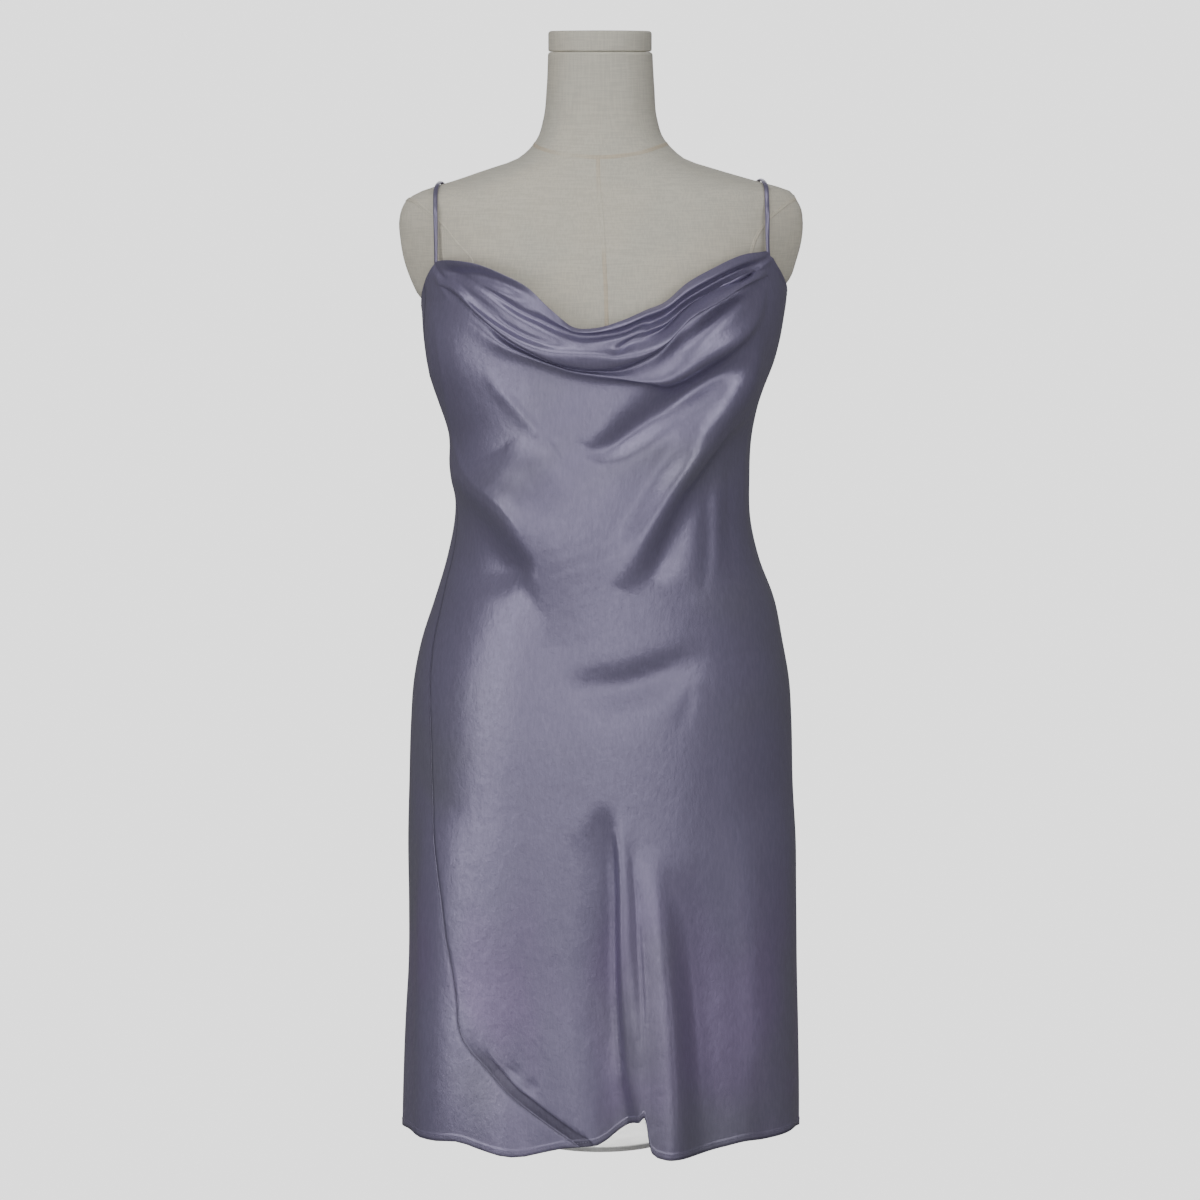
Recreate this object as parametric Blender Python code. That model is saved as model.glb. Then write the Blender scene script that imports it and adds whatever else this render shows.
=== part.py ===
"""Slip dress on a limbless dress form.

The dress is cut on the bias in two panels, a front with a draped cowl neckline and a plain low
back, and hangs from two thin rouleau straps. Each piece of cloth is a thin wall. The form is a
smooth torso with a neck cap, on a pole and a flat base that the skirt hides.

Tables are in millimetres and degrees, and the solids are in metres. +Z is up, the front of the
dress faces -Y, and the origin is at the centre of the base's underside. An angle round the body
is 0 at the front, +90 at +X and 180 at the back.
"""

import math

import bpy
import numpy as np

MM = 0.001

# Cloth and making
CLOTH_THICK = 1.2
SEAM_GAP = 0.5
STRAP_WIDTH = 4.4
STRAP_THICK = 2.6
SQUARENESS = 0.03          # how far the rings swell out at their four corners
FACE_GAP = 0.3             # between two hard pieces that touch
SKIRT_RADIUS = 190.0       # turns the gap at a seam into an angle
SHARP_ANGLE = math.radians(60)     # edges that turn more than this stay crisp

# Dress form
NECK_TOP = 1074.7
CAP_TOP = 1095.0
CAP_RADIUS = 50.3
CAP_EDGE = 3.0
TORSO_BOTTOM = 300.0
POLE_RADIUS = 16.0
BASE_RADIUS = 75.0
BASE_THICK = 6.0
BASE_EDGE = 2.0
BUST_RISE = 6.0
BUST_PLACE = (82.0, 785.0)
BUST_SPREAD = 42.0

# Rings of the dress: height, half width at the left and right, depth at the front and back
DRESS_RINGS = np.array([
    (0, 198, 199, 142, 134),
    (60, 196.5, 198.5, 141, 132),
    (120, 194, 197, 139, 130),
    (180, 190.5, 195, 137, 128),
    (240, 190, 194, 136, 126),
    (300, 190.5, 194, 135, 125),
    (360, 189, 191, 134, 124),
    (420, 187, 189.5, 133, 122),
    (460, 184, 187, 131.5, 120),
    (500, 176, 180, 130, 114),
    (540, 163, 172, 129, 104),
    (580, 151, 157, 128.5, 94),
    (620, 143, 148, 128.5, 88),
    (660, 141.5, 147, 128.5, 89),
    (700, 140.5, 149, 128.5, 92),
    (740, 151.5, 157, 128.5, 94),
    (776, 166, 171, 128.5, 96),
    (800, 172, 177, 128.5, 97),
    (818, 173.8, 180, 127, 97),
    (836, 174.8, 182.5, 123, 96),
    (860, 176, 182.5, 118, 95),
    (890, 177.5, 184, 108, 94),
], float)

# Rings of the form: height, half width at the left and right, depth at the front and back
FORM_RINGS = np.array([
    (300, 168, 168, 88, 102),
    (330, 173, 173, 92, 106),
    (430, 176, 178, 97, 112),
    (490, 168, 171, 95, 106),
    (550, 146, 150, 88, 92),
    (620, 122, 125, 80, 74),
    (660, 122, 124, 84, 74),
    (720, 136, 136, 96, 80),
    (780, 150, 150, 106, 86),
    (808, 156, 157, 105, 89),
    (822, 162, 163, 103, 89),
    (830, 168, 166, 102, 89),
    (838, 177, 172, 101, 89),
    (846, 181.5, 179, 99, 88),
    (854, 185, 185, 97, 88),
    (873, 191.5, 192, 93, 85),
    (893, 195, 197, 87, 80),
    (912, 196, 198, 81, 74),
    (924, 193, 196, 77, 70),
    (933, 187, 191, 74, 67),
    (941, 172, 184, 71, 64),
    (951, 140, 149, 68, 61),
    (961, 111, 114.5, 65, 59),
    (970, 84, 86, 62, 57),
    (980, 70, 72, 59, 55),
    (990, 62, 63, 56, 53),
    (1009, 55.5, 56, 53, 51),
    (1040, 52, 53, 51.5, 51),
    (1074.7, 50.5, 51, 50.5, 50.5),
], float)

# How far the form's rings close in at the arm caps: height, share of the depth
ARM_CAP_PINCH = ((800, 0), (830, 0.5), (915, 0.5), (945, 0.3), (985, 0))

# Stations across the cowl, from the left strap point to the right one. Where a ring is narrower,
# the outer ones stay within this share of its half width.
COWL_X = (-158, -137, -112, -88, -65, -45, -25, -5, 20, 43, 60, 80, 105, 131, 161)
COWL_REACH = 0.93

# Heights of the cowl's folds. Row: side seam, the stations above, side seam
COWL_HEIGHTS = {
    "top edge":     (853, 874, 876, 873, 864, 851, 830, 815, 814, 821, 831, 838, 855, 869, 880, 884, 846),
    "top roll":     (848, 870, 868, 858, 847, 838, 823, 811, 810, 815, 826, 833, 848, 861, 872, 880, 842),
    "top crease":   (842, 867, 863, 851, 838, 827, 816, 808, 806, 809, 818, 824, 839, 853, 865, 875, 837),
    "second roll":  (836, 864, 858, 844, 829, 817, 808, 801, 800, 803, 812, 818, 833, 847, 860, 870, 832),
    "hollow":       (829, 861, 854, 836, 818, 806, 798, 795, 794, 796, 805, 813, 831, 847, 860, 868, 827),
    "main roll":    (822, 858, 849, 829, 811, 798, 791, 789, 788, 788, 794, 804, 825, 840, 855, 865, 821),
    "main lip":     (815, 855, 845, 824, 805, 792, 783, 778, 776, 779, 788, 799, 821, 836, 851, 861, 814),
    "tuck":         (808, 852, 841, 820, 801, 789, 780, 775, 773, 774, 783, 793, 815, 831, 847, 858, 807),
    "third crest":  (798, 842, 828, 808, 794, 785, 778, 772, 769, 766, 763, 764, 772, 789, 806, 836, 797),
    "third foot":   (780, 816, 800, 788, 780, 774, 768, 764, 761, 760, 759, 753, 757, 769, 788, 808, 780),
    "flat front":   (748, 748, 748, 746, 744, 742, 740, 738, 736, 734, 733, 734, 738, 742, 746, 748, 748),
}

# How far each fold stands out of the rings, at the stations
COWL_OUT = {
    "top edge":     (0, 8, 10, 11, 10, 7, 4, 4, 5, 5, 5, 5, 5, 3, 0),
    "top roll":     (0, 7, 8.5, 9, 8.5, 8, 8, 8, 9, 10, 11, 11, 9, 5, 0),
    "top crease":   (0, 4.5, 5.5, 6, 6, 6, 5, 3, 1, 0, -1, -3, -5, -4, 0),
    "second roll":  (0, 3, 5, 7, 9, 10, 9, 8, 7, 8, 7, 3, 0, 1, 0),
    "hollow":       (0, 2, 3.5, 6, 9, 11, 12, 12, 8, 4, 1, 1, 2, 2, 0),
    "main roll":    (0, 5, 9, 11.5, 13.5, 14.5, 15, 15, 15, 14, 13, 13, 13, 10, 0),
    "main lip":     (0, 4, 8, 10, 12, 12, 11.5, 11, 12, 13, 14, 15, 14.5, 11, 0),
    "tuck":         (0, 0, 0, -1, 0, 1, 2, 2, 2, 0, -2, -3, -4, -3, 0),
    "third crest":  (0, 1, 2, 3, 3, 3, 4, 5, 6, 8, 11, 13, 12, 9, 0),
    "third foot":   (0, 0, 0, 0, 0, 0, 0, 0, 0, 0, 0, 0, 0, 0, 0),
    "flat front":   (0,) * 15,
}

COWL_LEVELS = len(COWL_HEIGHTS) - 1        # rows of folds above the plain front
BODY_LEVELS = 24                           # rows from there to the hem
LAST_LEVEL = COWL_LEVELS + BODY_LEVELS

BACK_TOP = 804.0           # top edge in the middle of the back
ARMHOLE_DIP = 1.5          # how far the right armhole's edge hollows below a straight line
BACK_TOP_RISE = 4.0        # the higher, the later the edge climbs to the side seams

# Hem: angle, height
HEM = np.array([
    (-180, 9), (-160, 14), (-140, 18), (-120, 12), (-100, 9), (-84, 13), (-70, 17.5), (-60, 17),
    (-50.6, 17.3), (-42.2, 19.5), (-35, 14.6), (-28, 11), (-22.4, 11), (-15.8, 16), (-10.2, 20.3),
    (-5, 21.5), (-1.2, 22.5), (1.8, 27), (4.8, 34.5), (8, 41.5), (10.8, 45.5), (12.6, 46.5), (13.2, 32),
    (13.8, 20), (14.8, 15), (16.8, 12), (21.4, 10.9), (29.8, 11), (36.6, 15), (42.6, 18.7), (51.4, 17.8),
    (61, 19), (70, 20), (82, 15), (100, 9), (120, 13), (140, 17), (160, 12), (180, 9),
], float)

# Left side seam: height, degrees left of the middle of the front. It swings across the front
# below 134, so the back panel comes round to the front at that corner of the hem.
LEFT_SEAM = np.array([
    (0, 1), (21.5, 6.2), (27.7, 8.4), (34, 11.2), (45, 15.8), (56.5, 20.4), (73.6, 27), (95, 33.6),
    (111, 39.2), (124, 42.2), (138, 43.4), (158, 44), (187, 46), (216, 48.4), (255, 50.4), (293, 52.8),
    (322, 55), (351, 57), (370, 57.8), (410, 59), (448, 61), (490, 64.5), (530, 68.5), (570, 72.5),
    (610, 76), (660, 77.5), (716, 77.5), (776, 75.5), (836, 74), (890, 73),
], float)

# Draped folds: each row of a path is x, height, how far the cloth stands out there, and the
# fold's width on the left hand and the right hand of someone walking the path.
FRONT_FOLDS = {
    "hollow under the top edge": (
        (-156, 869, 0, 6, 8), (-137, 864, -7, 7, 9), (-112, 861, -7, 7, 9), (-90, 855, -4, 6, 7),
        (-66, 844, 0, 5, 5)),
    "drape under right bust": (
        (146, 778, 0, 8, 10), (120, 768, -8, 11, 14), (98, 756, -11, 12, 16), (72, 738, -11, 13, 17),
        (50, 725, -11, 13, 17), (30, 712, -10, 12, 15), (12, 701, -7, 10, 12), (-16, 694, 0, 6, 7)),
    "right edge of the v": (
        (153, 828, 0, 13, 30), (149, 802, 4, 13, 30), (143, 776, 8, 14, 26), (135, 752, 11, 16, 20),
        (119, 733, 12, 18, 16), (101, 714, 13, 18, 14), (82, 686, 13, 18, 13), (62, 658, 13, 19, 13),
        (50, 636, 12, 19, 14), (39, 613, 10, 18, 14), (30, 589, 6, 16, 12), (19, 565, 0, 12, 10)),
    "hollow right of the v": (
        (150, 718, 0, 14, 8), (130, 700, -4, 20, 9), (108, 676, -5, 22, 10), (86, 648, -5, 20, 10),
        (71, 620, -5, 18, 11), (59, 592, -4, 16, 11), (50, 570, 0, 12, 10)),
    "inner fold of the v": (
        (116, 738, 0, 7, 9), (98, 712, -2.6, 8, 11), (71, 682, -3.2, 8, 11), (44, 644, -3, 9, 12),
        (18, 606, 0, 10, 12)),
    "left edge of the v": (
        (-163, 836, 0, 24, 10), (-158, 804, 6, 28, 12), (-154, 770, 9, 32, 14), (-150, 735, 10, 34, 16),
        (-143, 694, 12, 34, 19), (-124, 667, 15, 34, 22), (-96, 649, 17, 38, 24), (-78, 627, 16, 44, 25),
        (-68, 606, 13, 50, 24), (-59, 584, 9, 50, 18), (-52, 560, 5, 46, 13), (-46, 534, 2, 40, 12),
        (-42, 508, 0, 36, 12)),
    "left hollow": (
        (-150, 570, 0, 30, 16), (-120, 577, -5, 36, 18), (-98, 581, -8, 36, 18), (-80, 584, -7, 30, 14),
        (-68, 586, -4, 20, 10), (-58, 588, 0, 12, 7)),
    "tummy crease": (
        (-38, 468, 0, 11, 16), (-8, 470, -4, 13, 20), (24, 473, -6, 13, 22), (54, 482, -6, 12, 20),
        (84, 493, -3, 11, 16), (106, 502, 0, 10, 14)),
    "middle flute": (
        (-6, 350, 0, 14, 16), (4, 336, -3.4, 9, 20), (9, 310, -6.2, 7, 26), (12, 270, -7.6, 6, 29),
        (12, 225, -8.8, 6, 31), (12, 180, -9.6, 7, 32), (14, 140, -10.2, 8, 33), (17, 100, -10.6, 8, 33),
        (24, 60, -12, 8, 34), (33, 20, -14, 8, 34), (36, -10, -15, 8, 34)),
    "right ridge": (
        (46, 312, 0, 13, 14), (54, 255, 7, 15, 20), (57, 213, 10, 16, 22), (60, 176, 12, 18, 24),
        (63, 139, 14, 20, 26), (66, 84, 15, 20, 26), (67, 40, 16, 20, 24), (67, -10, 16, 20, 24)),
    "right flute": (
        (86, 300, 0, 24, 16), (90, 250, -3, 26, 16), (94, 200, -5, 28, 17), (96, 150, -6, 28, 18),
        (100, 100, -6, 28, 20), (106, 50, -7, 26, 20), (112, -10, -8, 26, 20)),
    "right side flare": (
        (166, 356, 0, 12, 30), (176, 325, 3, 13, 42), (180, 270, 5, 13, 46), (181, 150, 6, 13, 46),
        (181, -10, 6, 13, 46)),
    "outer right flute": (
        (152, 100, 0, 16, 16), (158, 40, -3, 14, 14), (162, 0, -5, 12, 14)),
    "left hem wave": (
        (-90, 90, 0, 20, 20), (-88, 40, 4, 22, 22), (-88, 0, 7, 22, 22)),
    "left side flare": (
        (-162, 350, 0, 30, 10), (-167, 318, 4, 36, 10), (-169, 260, 7, 38, 10), (-170, 150, 8, 38, 11),
        (-170, -10, 7, 38, 12)),
}

BACK_FOLDS = {
    "drape from the left": (
        (-128, 790, 0, 12, 18), (-96, 722, -4, 12, 20), (-52, 668, -6, 12, 20), (-8, 634, -4, 12, 16),
        (20, 622, 0, 10, 12)),
    "drape from the right": (
        (132, 770, 0, 18, 12), (104, 706, -5, 20, 12), (66, 652, -7, 20, 12), (30, 606, -5, 16, 12),
        (8, 580, 0, 12, 10)),
    "seat crease": (
        (-70, 556, 0, 10, 14), (-26, 548, -4, 10, 16), (24, 552, -5, 10, 16), (74, 566, 0, 10, 12)),
    "back flute right": (
        (62, 330, 0, 20, 22), (58, 230, -6, 24, 26), (54, 120, -15, 28, 30), (50, 0, -30, 28, 30)),
    "back flute left": (
        (-86, 300, 0, 22, 22), (-84, 200, -5, 26, 26), (-80, 100, -13, 28, 28), (-78, 0, -26, 28, 30)),
    "back ridge": (
        (-14, 310, 0, 26, 26), (-14, 200, 5, 30, 30), (-12, 100, 9, 34, 34), (-12, 0, 14, 36, 36)),
}

# Column stations of each panel as angles, and how many columns lie between them
FRONT_COLUMNS = ((-75, -48, -22, 2, 8, 15, 22, 52, 90), (5, 8, 8, 3, 7, 3, 7, 5))
BACK_COLUMNS = ((90, 135, 225, 262, 285), (5, 14, 5, 8))
FRONT_PIVOT = 2.0          # columns left of here close up where the seam crosses the front
BACK_PIVOT = -98.0         # columns past here spread out there

# Rows of the walls as levels: close at the cowl and the waist, wide down the plain skirt
COWL_ROWS = [0.5 * step for step in range(2 * COWL_LEVELS)]
WAIST_ROWS = [COWL_LEVELS + 0.75 * step for step in range(12)]
SKIRT_ROWS = [19 + 1.5 * step for step in range(8)]
HEM_ROWS = [31, 32, 33, LAST_LEVEL]
FRONT_ROWS = COWL_ROWS + WAIST_ROWS + SKIRT_ROWS + HEM_ROWS
BACK_ROWS = [0, 3, 6, 8, 8.5, 9, 9.5] + WAIST_ROWS + SKIRT_ROWS + HEM_ROWS

FRONT_FADE = (78, 92)      # degrees over which the front's folds die away
BACK_FADE = (88, 102)      # and the back's folds begin
RING_PASSES = 6
SEAM_PASSES = 30
NORMAL_TURN = math.radians(0.6)    # the outward direction is read from points this far
NORMAL_ROW = 0.2                   # to the sides and this many levels up and down

# Left strap, from inside the front strap point over the shoulder to the back's top edge
STRAP_PATH = (
    (-158.5, -50.5, 865), (-158.5, -50.4, 875), (-158.5, -49.8, 892), (-158.7, -49, 910),
    (-159, -46, 925), (-159.2, -41.5, 935), (-159.2, -30, 943), (-158, -16, 947.5), (-156, 0, 949.5),
    (-154, 18, 948.5), (-151, 35, 942.5), (-148, 47.5, 931), (-144, 56, 913), (-139, 63, 893),
    (-134, 68, 873), (-128, 71, 854), (-122, 72, 838), (-118, 72.2, 824), (-116, 72.1, 810),
    (-115.5, 71.9, 796),
)
STRAP_STEPS = 26
STRAP_CLEARANCE = 1.1      # between a strap's middle and the form, which its edges come closer to
STRAP_RESTS = (922, 940)   # heights over which a strap comes to lie on the form
STRAP_TURNS = (880, 920)   # heights over which it turns square to the body at its ends
BODY_HALVES = (180, 105)   # half width and depth of the body there
STRAP_SIDES = 6
SHOULDER_CORE = 860.0      # height inside the shoulder that a strap's flat side faces
RIGHT_STRAP_SHIFT = 0.5    # the right strap sits this much further out than the left one,
RIGHT_STRAP_LEAN = 4.0     # its front end this much further again
RIGHT_STRAP_LIFT = 9.0     # and this much higher
LIFTED_BELOW = 890.0
SHOULDER_HEIGHTS = (790, 960)      # the part of the form that the straps can touch

# Finish of each material: colour, roughness, metallic
FINISHES = {
    "satin": ((0.235, 0.215, 0.305, 1.0), 0.38, 0.0),
    "linen": ((0.56, 0.54, 0.48, 1.0), 0.80, 0.0),
    "painted steel": ((0.70, 0.70, 0.68, 1.0), 0.40, 0.0),
}


def smooth_curve(knots, values, at):
    """Cubic curve through knots and values, held at its end values past both ends."""
    knots = np.asarray(knots, float)
    values = np.asarray(values, float)
    slopes = np.gradient(values, knots)
    at = np.clip(at, knots[0], knots[-1])
    index = np.clip(np.searchsorted(knots, at) - 1, 0, len(knots) - 2)
    step = knots[index + 1] - knots[index]
    t = (at - knots[index]) / step
    start, end = values[index], values[index + 1]
    rise = (2 * t**3 - 3 * t**2 + 1) * start + (3 * t**2 - 2 * t**3) * end
    return rise + step * ((t**3 - 2 * t**2 + t) * slopes[index] + (t**3 - t**2) * slopes[index + 1])


def soft_step(low, high, value):
    """0 below low, 1 above high and a smooth ramp between."""
    t = np.clip((value - low) / (high - low), 0, 1)
    return t * t * (3 - 2 * t)


def ring_sizes(rings, angle, height):
    """Half width on this side of the middle, and depth on this side of the seams."""
    left, right, front, back = (
        smooth_curve(rings[:, 0], rings[:, column], height) for column in range(1, 5))
    half_width = np.where(np.sin(angle) < 0, left, right)
    depth = np.where(np.cos(angle) > 0, front, back)
    return half_width, depth


def ring_point(rings, angle, height):
    """Point on a ring, and the level direction that leads straight out of the ring there."""
    half_width, depth = ring_sizes(rings, angle, height)
    swell = 1 + SQUARENESS * np.sin(2 * angle) ** 2
    x = half_width * np.sin(angle) * swell
    y = -depth * np.cos(angle) * swell
    out_x, out_y = np.sin(angle) / half_width, -np.cos(angle) / depth
    length = np.hypot(out_x, out_y)
    return x, y, out_x / length, out_y / length


def half_width_beside(x, height):
    """Half width of the dress's ring on the side of the middle where x lies."""
    left, right = (smooth_curve(DRESS_RINGS[:, 0], DRESS_RINGS[:, column], height) for column in (1, 2))
    return np.where(x < 0, left, right)


def angle_at(x, height):
    """Angle at which the dress's ring at this height reaches x, on the front."""
    half_width = half_width_beside(x, height)
    angle = np.zeros_like(x)
    for _ in range(RING_PASSES):
        swell = 1 + SQUARENESS * np.sin(2 * angle) ** 2
        angle = np.arcsin(np.clip(x / (half_width * swell), -1, 1))
    return angle


def hem_height(angle):
    return smooth_curve(HEM[:, 0], HEM[:, 1], np.degrees(angle))


def left_seam_angle(height):
    return -np.radians(np.interp(height, LEFT_SEAM[:, 0], LEFT_SEAM[:, 1]))


def front_level(name, angle):
    """Height and outward reach of one fold of the cowl at an angle on the front."""
    left_side, *heights, right_side = COWL_HEIGHTS[name]
    heights = np.array(heights, float)
    across = np.array(COWL_X, float)
    reach = COWL_REACH * half_width_beside(across, heights)
    stations = angle_at(np.clip(across, -reach, reach), heights)
    height = smooth_curve(stations, heights, angle)
    out = smooth_curve(stations, COWL_OUT[name], angle)
    left_edge = left_seam_angle(np.array(float(left_side)))
    to_left = np.clip((angle - left_edge) / (stations[0] - left_edge), 0, 1)
    to_right = np.clip((math.pi / 2 - angle) / (math.pi / 2 - stations[-1]), 0, 1) ** ARMHOLE_DIP
    height = np.where(angle < stations[0], left_side + (heights[0] - left_side) * to_left, height)
    height = np.where(angle > stations[-1], right_side + (heights[-1] - right_side) * to_right, height)
    return height, out


def back_level(name, angle):
    """Height of the same row on the back, where the rows run level below the top edge."""
    at_right = np.sin(angle) > 0
    side, side_top, flat = (
        np.where(at_right, COWL_HEIGHTS[level][-1], COWL_HEIGHTS[level][0])
        for level in (name, "top edge", "flat front"))
    seam = np.where(at_right, math.pi / 2, -left_seam_angle(side_top))
    to_middle = np.clip((np.abs(angle) - seam) / (math.pi - seam), 0, 1)
    dip = (BACK_TOP - side_top) * (1 - (1 - to_middle) ** BACK_TOP_RISE)
    return side + dip * (side - flat) / (side_top - flat), np.zeros_like(angle)


def level_stack(angle, on_front):
    pick = front_level if on_front else back_level
    pairs = [pick(name, angle) for name in COWL_HEIGHTS]
    heights = np.array([pair[0] for pair in pairs])
    outs = np.array([pair[1] for pair in pairs])
    return heights, outs


def between_levels(stack, row):
    """Read a smooth curve down the levels of a stack at fractional rows."""
    index = np.clip(np.floor(row).astype(int), 0, len(stack) - 2)
    t = row - index
    before, start, end, after = (
        np.take_along_axis(stack, np.clip(index + shift, 0, len(stack) - 1)[None], 0)[0]
        for shift in (-1, 0, 1, 2))
    bend = t * t * (3 - 2 * t)
    lead = (end - before) / 2 * (t**3 - 2 * t**2 + t) + (after - start) / 2 * (t**3 - t**2)
    return start * (1 - bend) + end * bend + lead


def dense_path(rows, steps=28):
    """Smooth the rows of a fold's path, spaced by their distance."""
    rows = np.array(rows, float)
    lengths = np.hypot(*np.diff(rows[:, :2], axis=0).T)
    knots = np.concatenate(([0], np.cumsum(lengths)))
    at = np.linspace(0, knots[-1], steps)
    return np.array([smooth_curve(knots, rows[:, column], at) for column in range(rows.shape[1])]).T


def fold_reach(folds, x, height):
    """Sum of all the folds at points of a panel."""
    total = np.zeros_like(x)
    for rows in folds.values():
        path = dense_path(rows)
        nearest = np.full(x.shape, 1e9)
        reach = np.zeros_like(x)
        for first, second in zip(path[:-1], path[1:]):
            run_x, run_z = second[:2] - first[:2]
            length = math.hypot(run_x, run_z)
            along = np.clip(((x - first[0]) * run_x + (height - first[1]) * run_z) / length**2, 0, 1)
            off_x, off_z = x - first[0] - along * run_x, height - first[1] - along * run_z
            distance = np.hypot(off_x, off_z)
            on_left = run_x * off_z - run_z * off_x > 0
            depth, left_width, right_width = (first[2:] + along[..., None] * (second[2:] - first[2:])).T
            width = np.where(on_left.T, left_width, right_width).T
            value = depth.T * np.exp(-(distance / width) ** 2)
            closer = distance < nearest
            reach = np.where(closer, value, reach)
            nearest = np.where(closer, distance, nearest)
        total += reach
    return total


def dress_point(angle, row, on_front):
    """Outer face of the dress at an angle and a row, as x, y and z arrays."""
    heights, outs = level_stack(angle, on_front)
    cowl_row = np.clip(row, 0, COWL_LEVELS)
    height = between_levels(heights, cowl_row)
    out = between_levels(outs, cowl_row)
    down = np.clip((row - COWL_LEVELS) / BODY_LEVELS, 0, 1)
    foot = np.where(np.abs(angle) < math.pi / 2, front_level("flat front", angle)[0], heights[-1])
    height = np.where(row > COWL_LEVELS, foot + (hem_height(angle) - foot) * down, height)
    x, y, out_x, out_y = ring_point(DRESS_RINGS, angle, height)
    turned = np.degrees(np.abs(angle))
    out = out + (1 - soft_step(*FRONT_FADE, turned)) * fold_reach(FRONT_FOLDS, x, height)
    out = out + soft_step(*BACK_FADE, turned) * fold_reach(BACK_FOLDS, x, height)
    return np.stack((x + out_x * out, y + out_y * out, height), axis=-1)


def column_angles(columns):
    stations, counts = columns
    angles = [stations[0]]
    for start, end, count in zip(stations, stations[1:], counts):
        angles += [start + (end - start) * step / count for step in range(1, count + 1)]
    return np.radians(angles)


def seam_angle_at_row(row):
    """Follow the left seam's line down to the height that this row has on it."""
    angle = np.full(np.shape(row), math.radians(FRONT_COLUMNS[0][0]))
    for _ in range(SEAM_PASSES):
        angle = (angle + left_seam_angle(seam_height(angle, row))) / 2
    return angle


def seam_height(angle, row):
    """Height of a row where the left seam crosses it at an angle."""
    side = [heights[0] for heights in COWL_HEIGHTS.values()]
    above = np.interp(row, range(COWL_LEVELS + 1), side)
    foot = side[-1]
    down = np.clip((row - COWL_LEVELS) / BODY_LEVELS, 0, 1)
    return np.where(row > COWL_LEVELS, foot + (hem_height(angle) - foot) * down, above)


def panel_angles(rows, on_front):
    """Angle of every point of a panel, which ends half a gap from both seams."""
    rows = np.array(rows, float)
    seam = seam_angle_at_row(rows)
    gap = SEAM_GAP / 2 / SKIRT_RADIUS
    if on_front:
        plan = column_angles(FRONT_COLUMNS)
        pivot = math.radians(FRONT_PIVOT)
        share = (plan[None, :] - plan[0]) / (pivot - plan[0])
        moved = (seam + gap)[:, None] + share * (pivot - seam - gap)[:, None]
        angles = np.where(plan[None, :] < pivot, moved, plan[None, :])
        angles[:, -1] -= gap
        return angles
    plan = column_angles(BACK_COLUMNS) - 2 * math.pi
    pivot = math.radians(BACK_PIVOT)
    share = (plan[None, :] - pivot) / (plan[-1] - pivot)
    moved = pivot + share * (seam - gap - pivot)[:, None]
    angles = np.where(plan[None, :] > pivot, moved, plan[None, :])
    angles[:, 0] += gap
    return np.where(angles < -math.pi, angles + 2 * math.pi, angles)


def unit(vectors):
    return vectors / np.linalg.norm(vectors, axis=-1, keepdims=True)


def face_normals(angles, rows, on_front):
    """Outward direction at each point, from points just beside it on the same cloth."""
    right = dress_point(angles + NORMAL_TURN, rows, on_front)
    left = dress_point(angles - NORMAL_TURN, rows, on_front)
    upper = dress_point(angles, np.clip(rows - NORMAL_ROW, 0, LAST_LEVEL), on_front)
    lower = dress_point(angles, np.clip(rows + NORMAL_ROW, 0, LAST_LEVEL), on_front)
    return unit(np.cross(lower - upper, right - left))


def wall_mesh(name, outer, inner):
    """Closed wall between two grids of points, outer face first."""
    rows, columns = outer.shape[:2]
    points = np.concatenate((outer.reshape(-1, 3), inner.reshape(-1, 3))) * MM
    under = rows * columns

    def at(row, column):
        return row * columns + column

    faces = []
    for row in range(rows - 1):
        for column in range(columns - 1):
            top, foot = at(row, column), at(row + 1, column)
            for face in ((top, foot, foot + 1), (top, foot + 1, top + 1)):
                faces.append(face)
                faces.append(tuple(under + corner for corner in reversed(face)))
    rim = [at(0, column) for column in range(columns)]
    rim += [at(row, columns - 1) for row in range(1, rows)]
    rim += [at(rows - 1, column) for column in range(columns - 2, -1, -1)]
    rim += [at(row, 0) for row in range(rows - 2, 0, -1)]
    for first, second in zip(rim, rim[1:] + rim[:1]):
        faces.append((first, second, under + second, under + first))
    return add_object(name, points, faces)


def add_object(name, points, faces):
    mesh = bpy.data.meshes.new(name)
    mesh.from_pydata([tuple(point) for point in points], [], faces)
    mesh.shade_smooth()
    mesh.set_sharp_from_angle(angle=SHARP_ANGLE)
    item = bpy.data.objects.new(name, mesh)
    bpy.context.scene.collection.objects.link(item)
    return item


def give_material(item, finish):
    colour, roughness, metallic = FINISHES[finish]
    material = bpy.data.materials.new(item.name)
    material.use_nodes = True
    shader = material.node_tree.nodes["Principled BSDF"]
    shader.inputs["Base Color"].default_value = colour
    shader.inputs["Roughness"].default_value = roughness
    shader.inputs["Metallic"].default_value = metallic
    item.data.materials.append(material)


def make_panel(name, rows, on_front):
    angles = panel_angles(rows, on_front)
    row_grid = np.broadcast_to(np.array(rows, float)[:, None], angles.shape)
    outer = dress_point(angles, row_grid, on_front)
    inner = outer - CLOTH_THICK * face_normals(angles, row_grid, on_front)
    give_material(wall_mesh(name, outer, inner), "satin")


def stacked_rings(name, rings):
    """Closed solid through rings of points, listed from the bottom up."""
    count = len(rings[0])
    points = np.concatenate(rings) * MM
    faces = [tuple(range(count - 1, -1, -1))]
    for level in range(len(rings) - 1):
        for place in range(count):
            first, second = level * count + place, level * count + (place + 1) % count
            faces.append((first, second, second + count, first + count))
    top = (len(rings) - 1) * count
    faces.append(tuple(range(top, top + count)))
    return add_object(name, points, faces)


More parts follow.
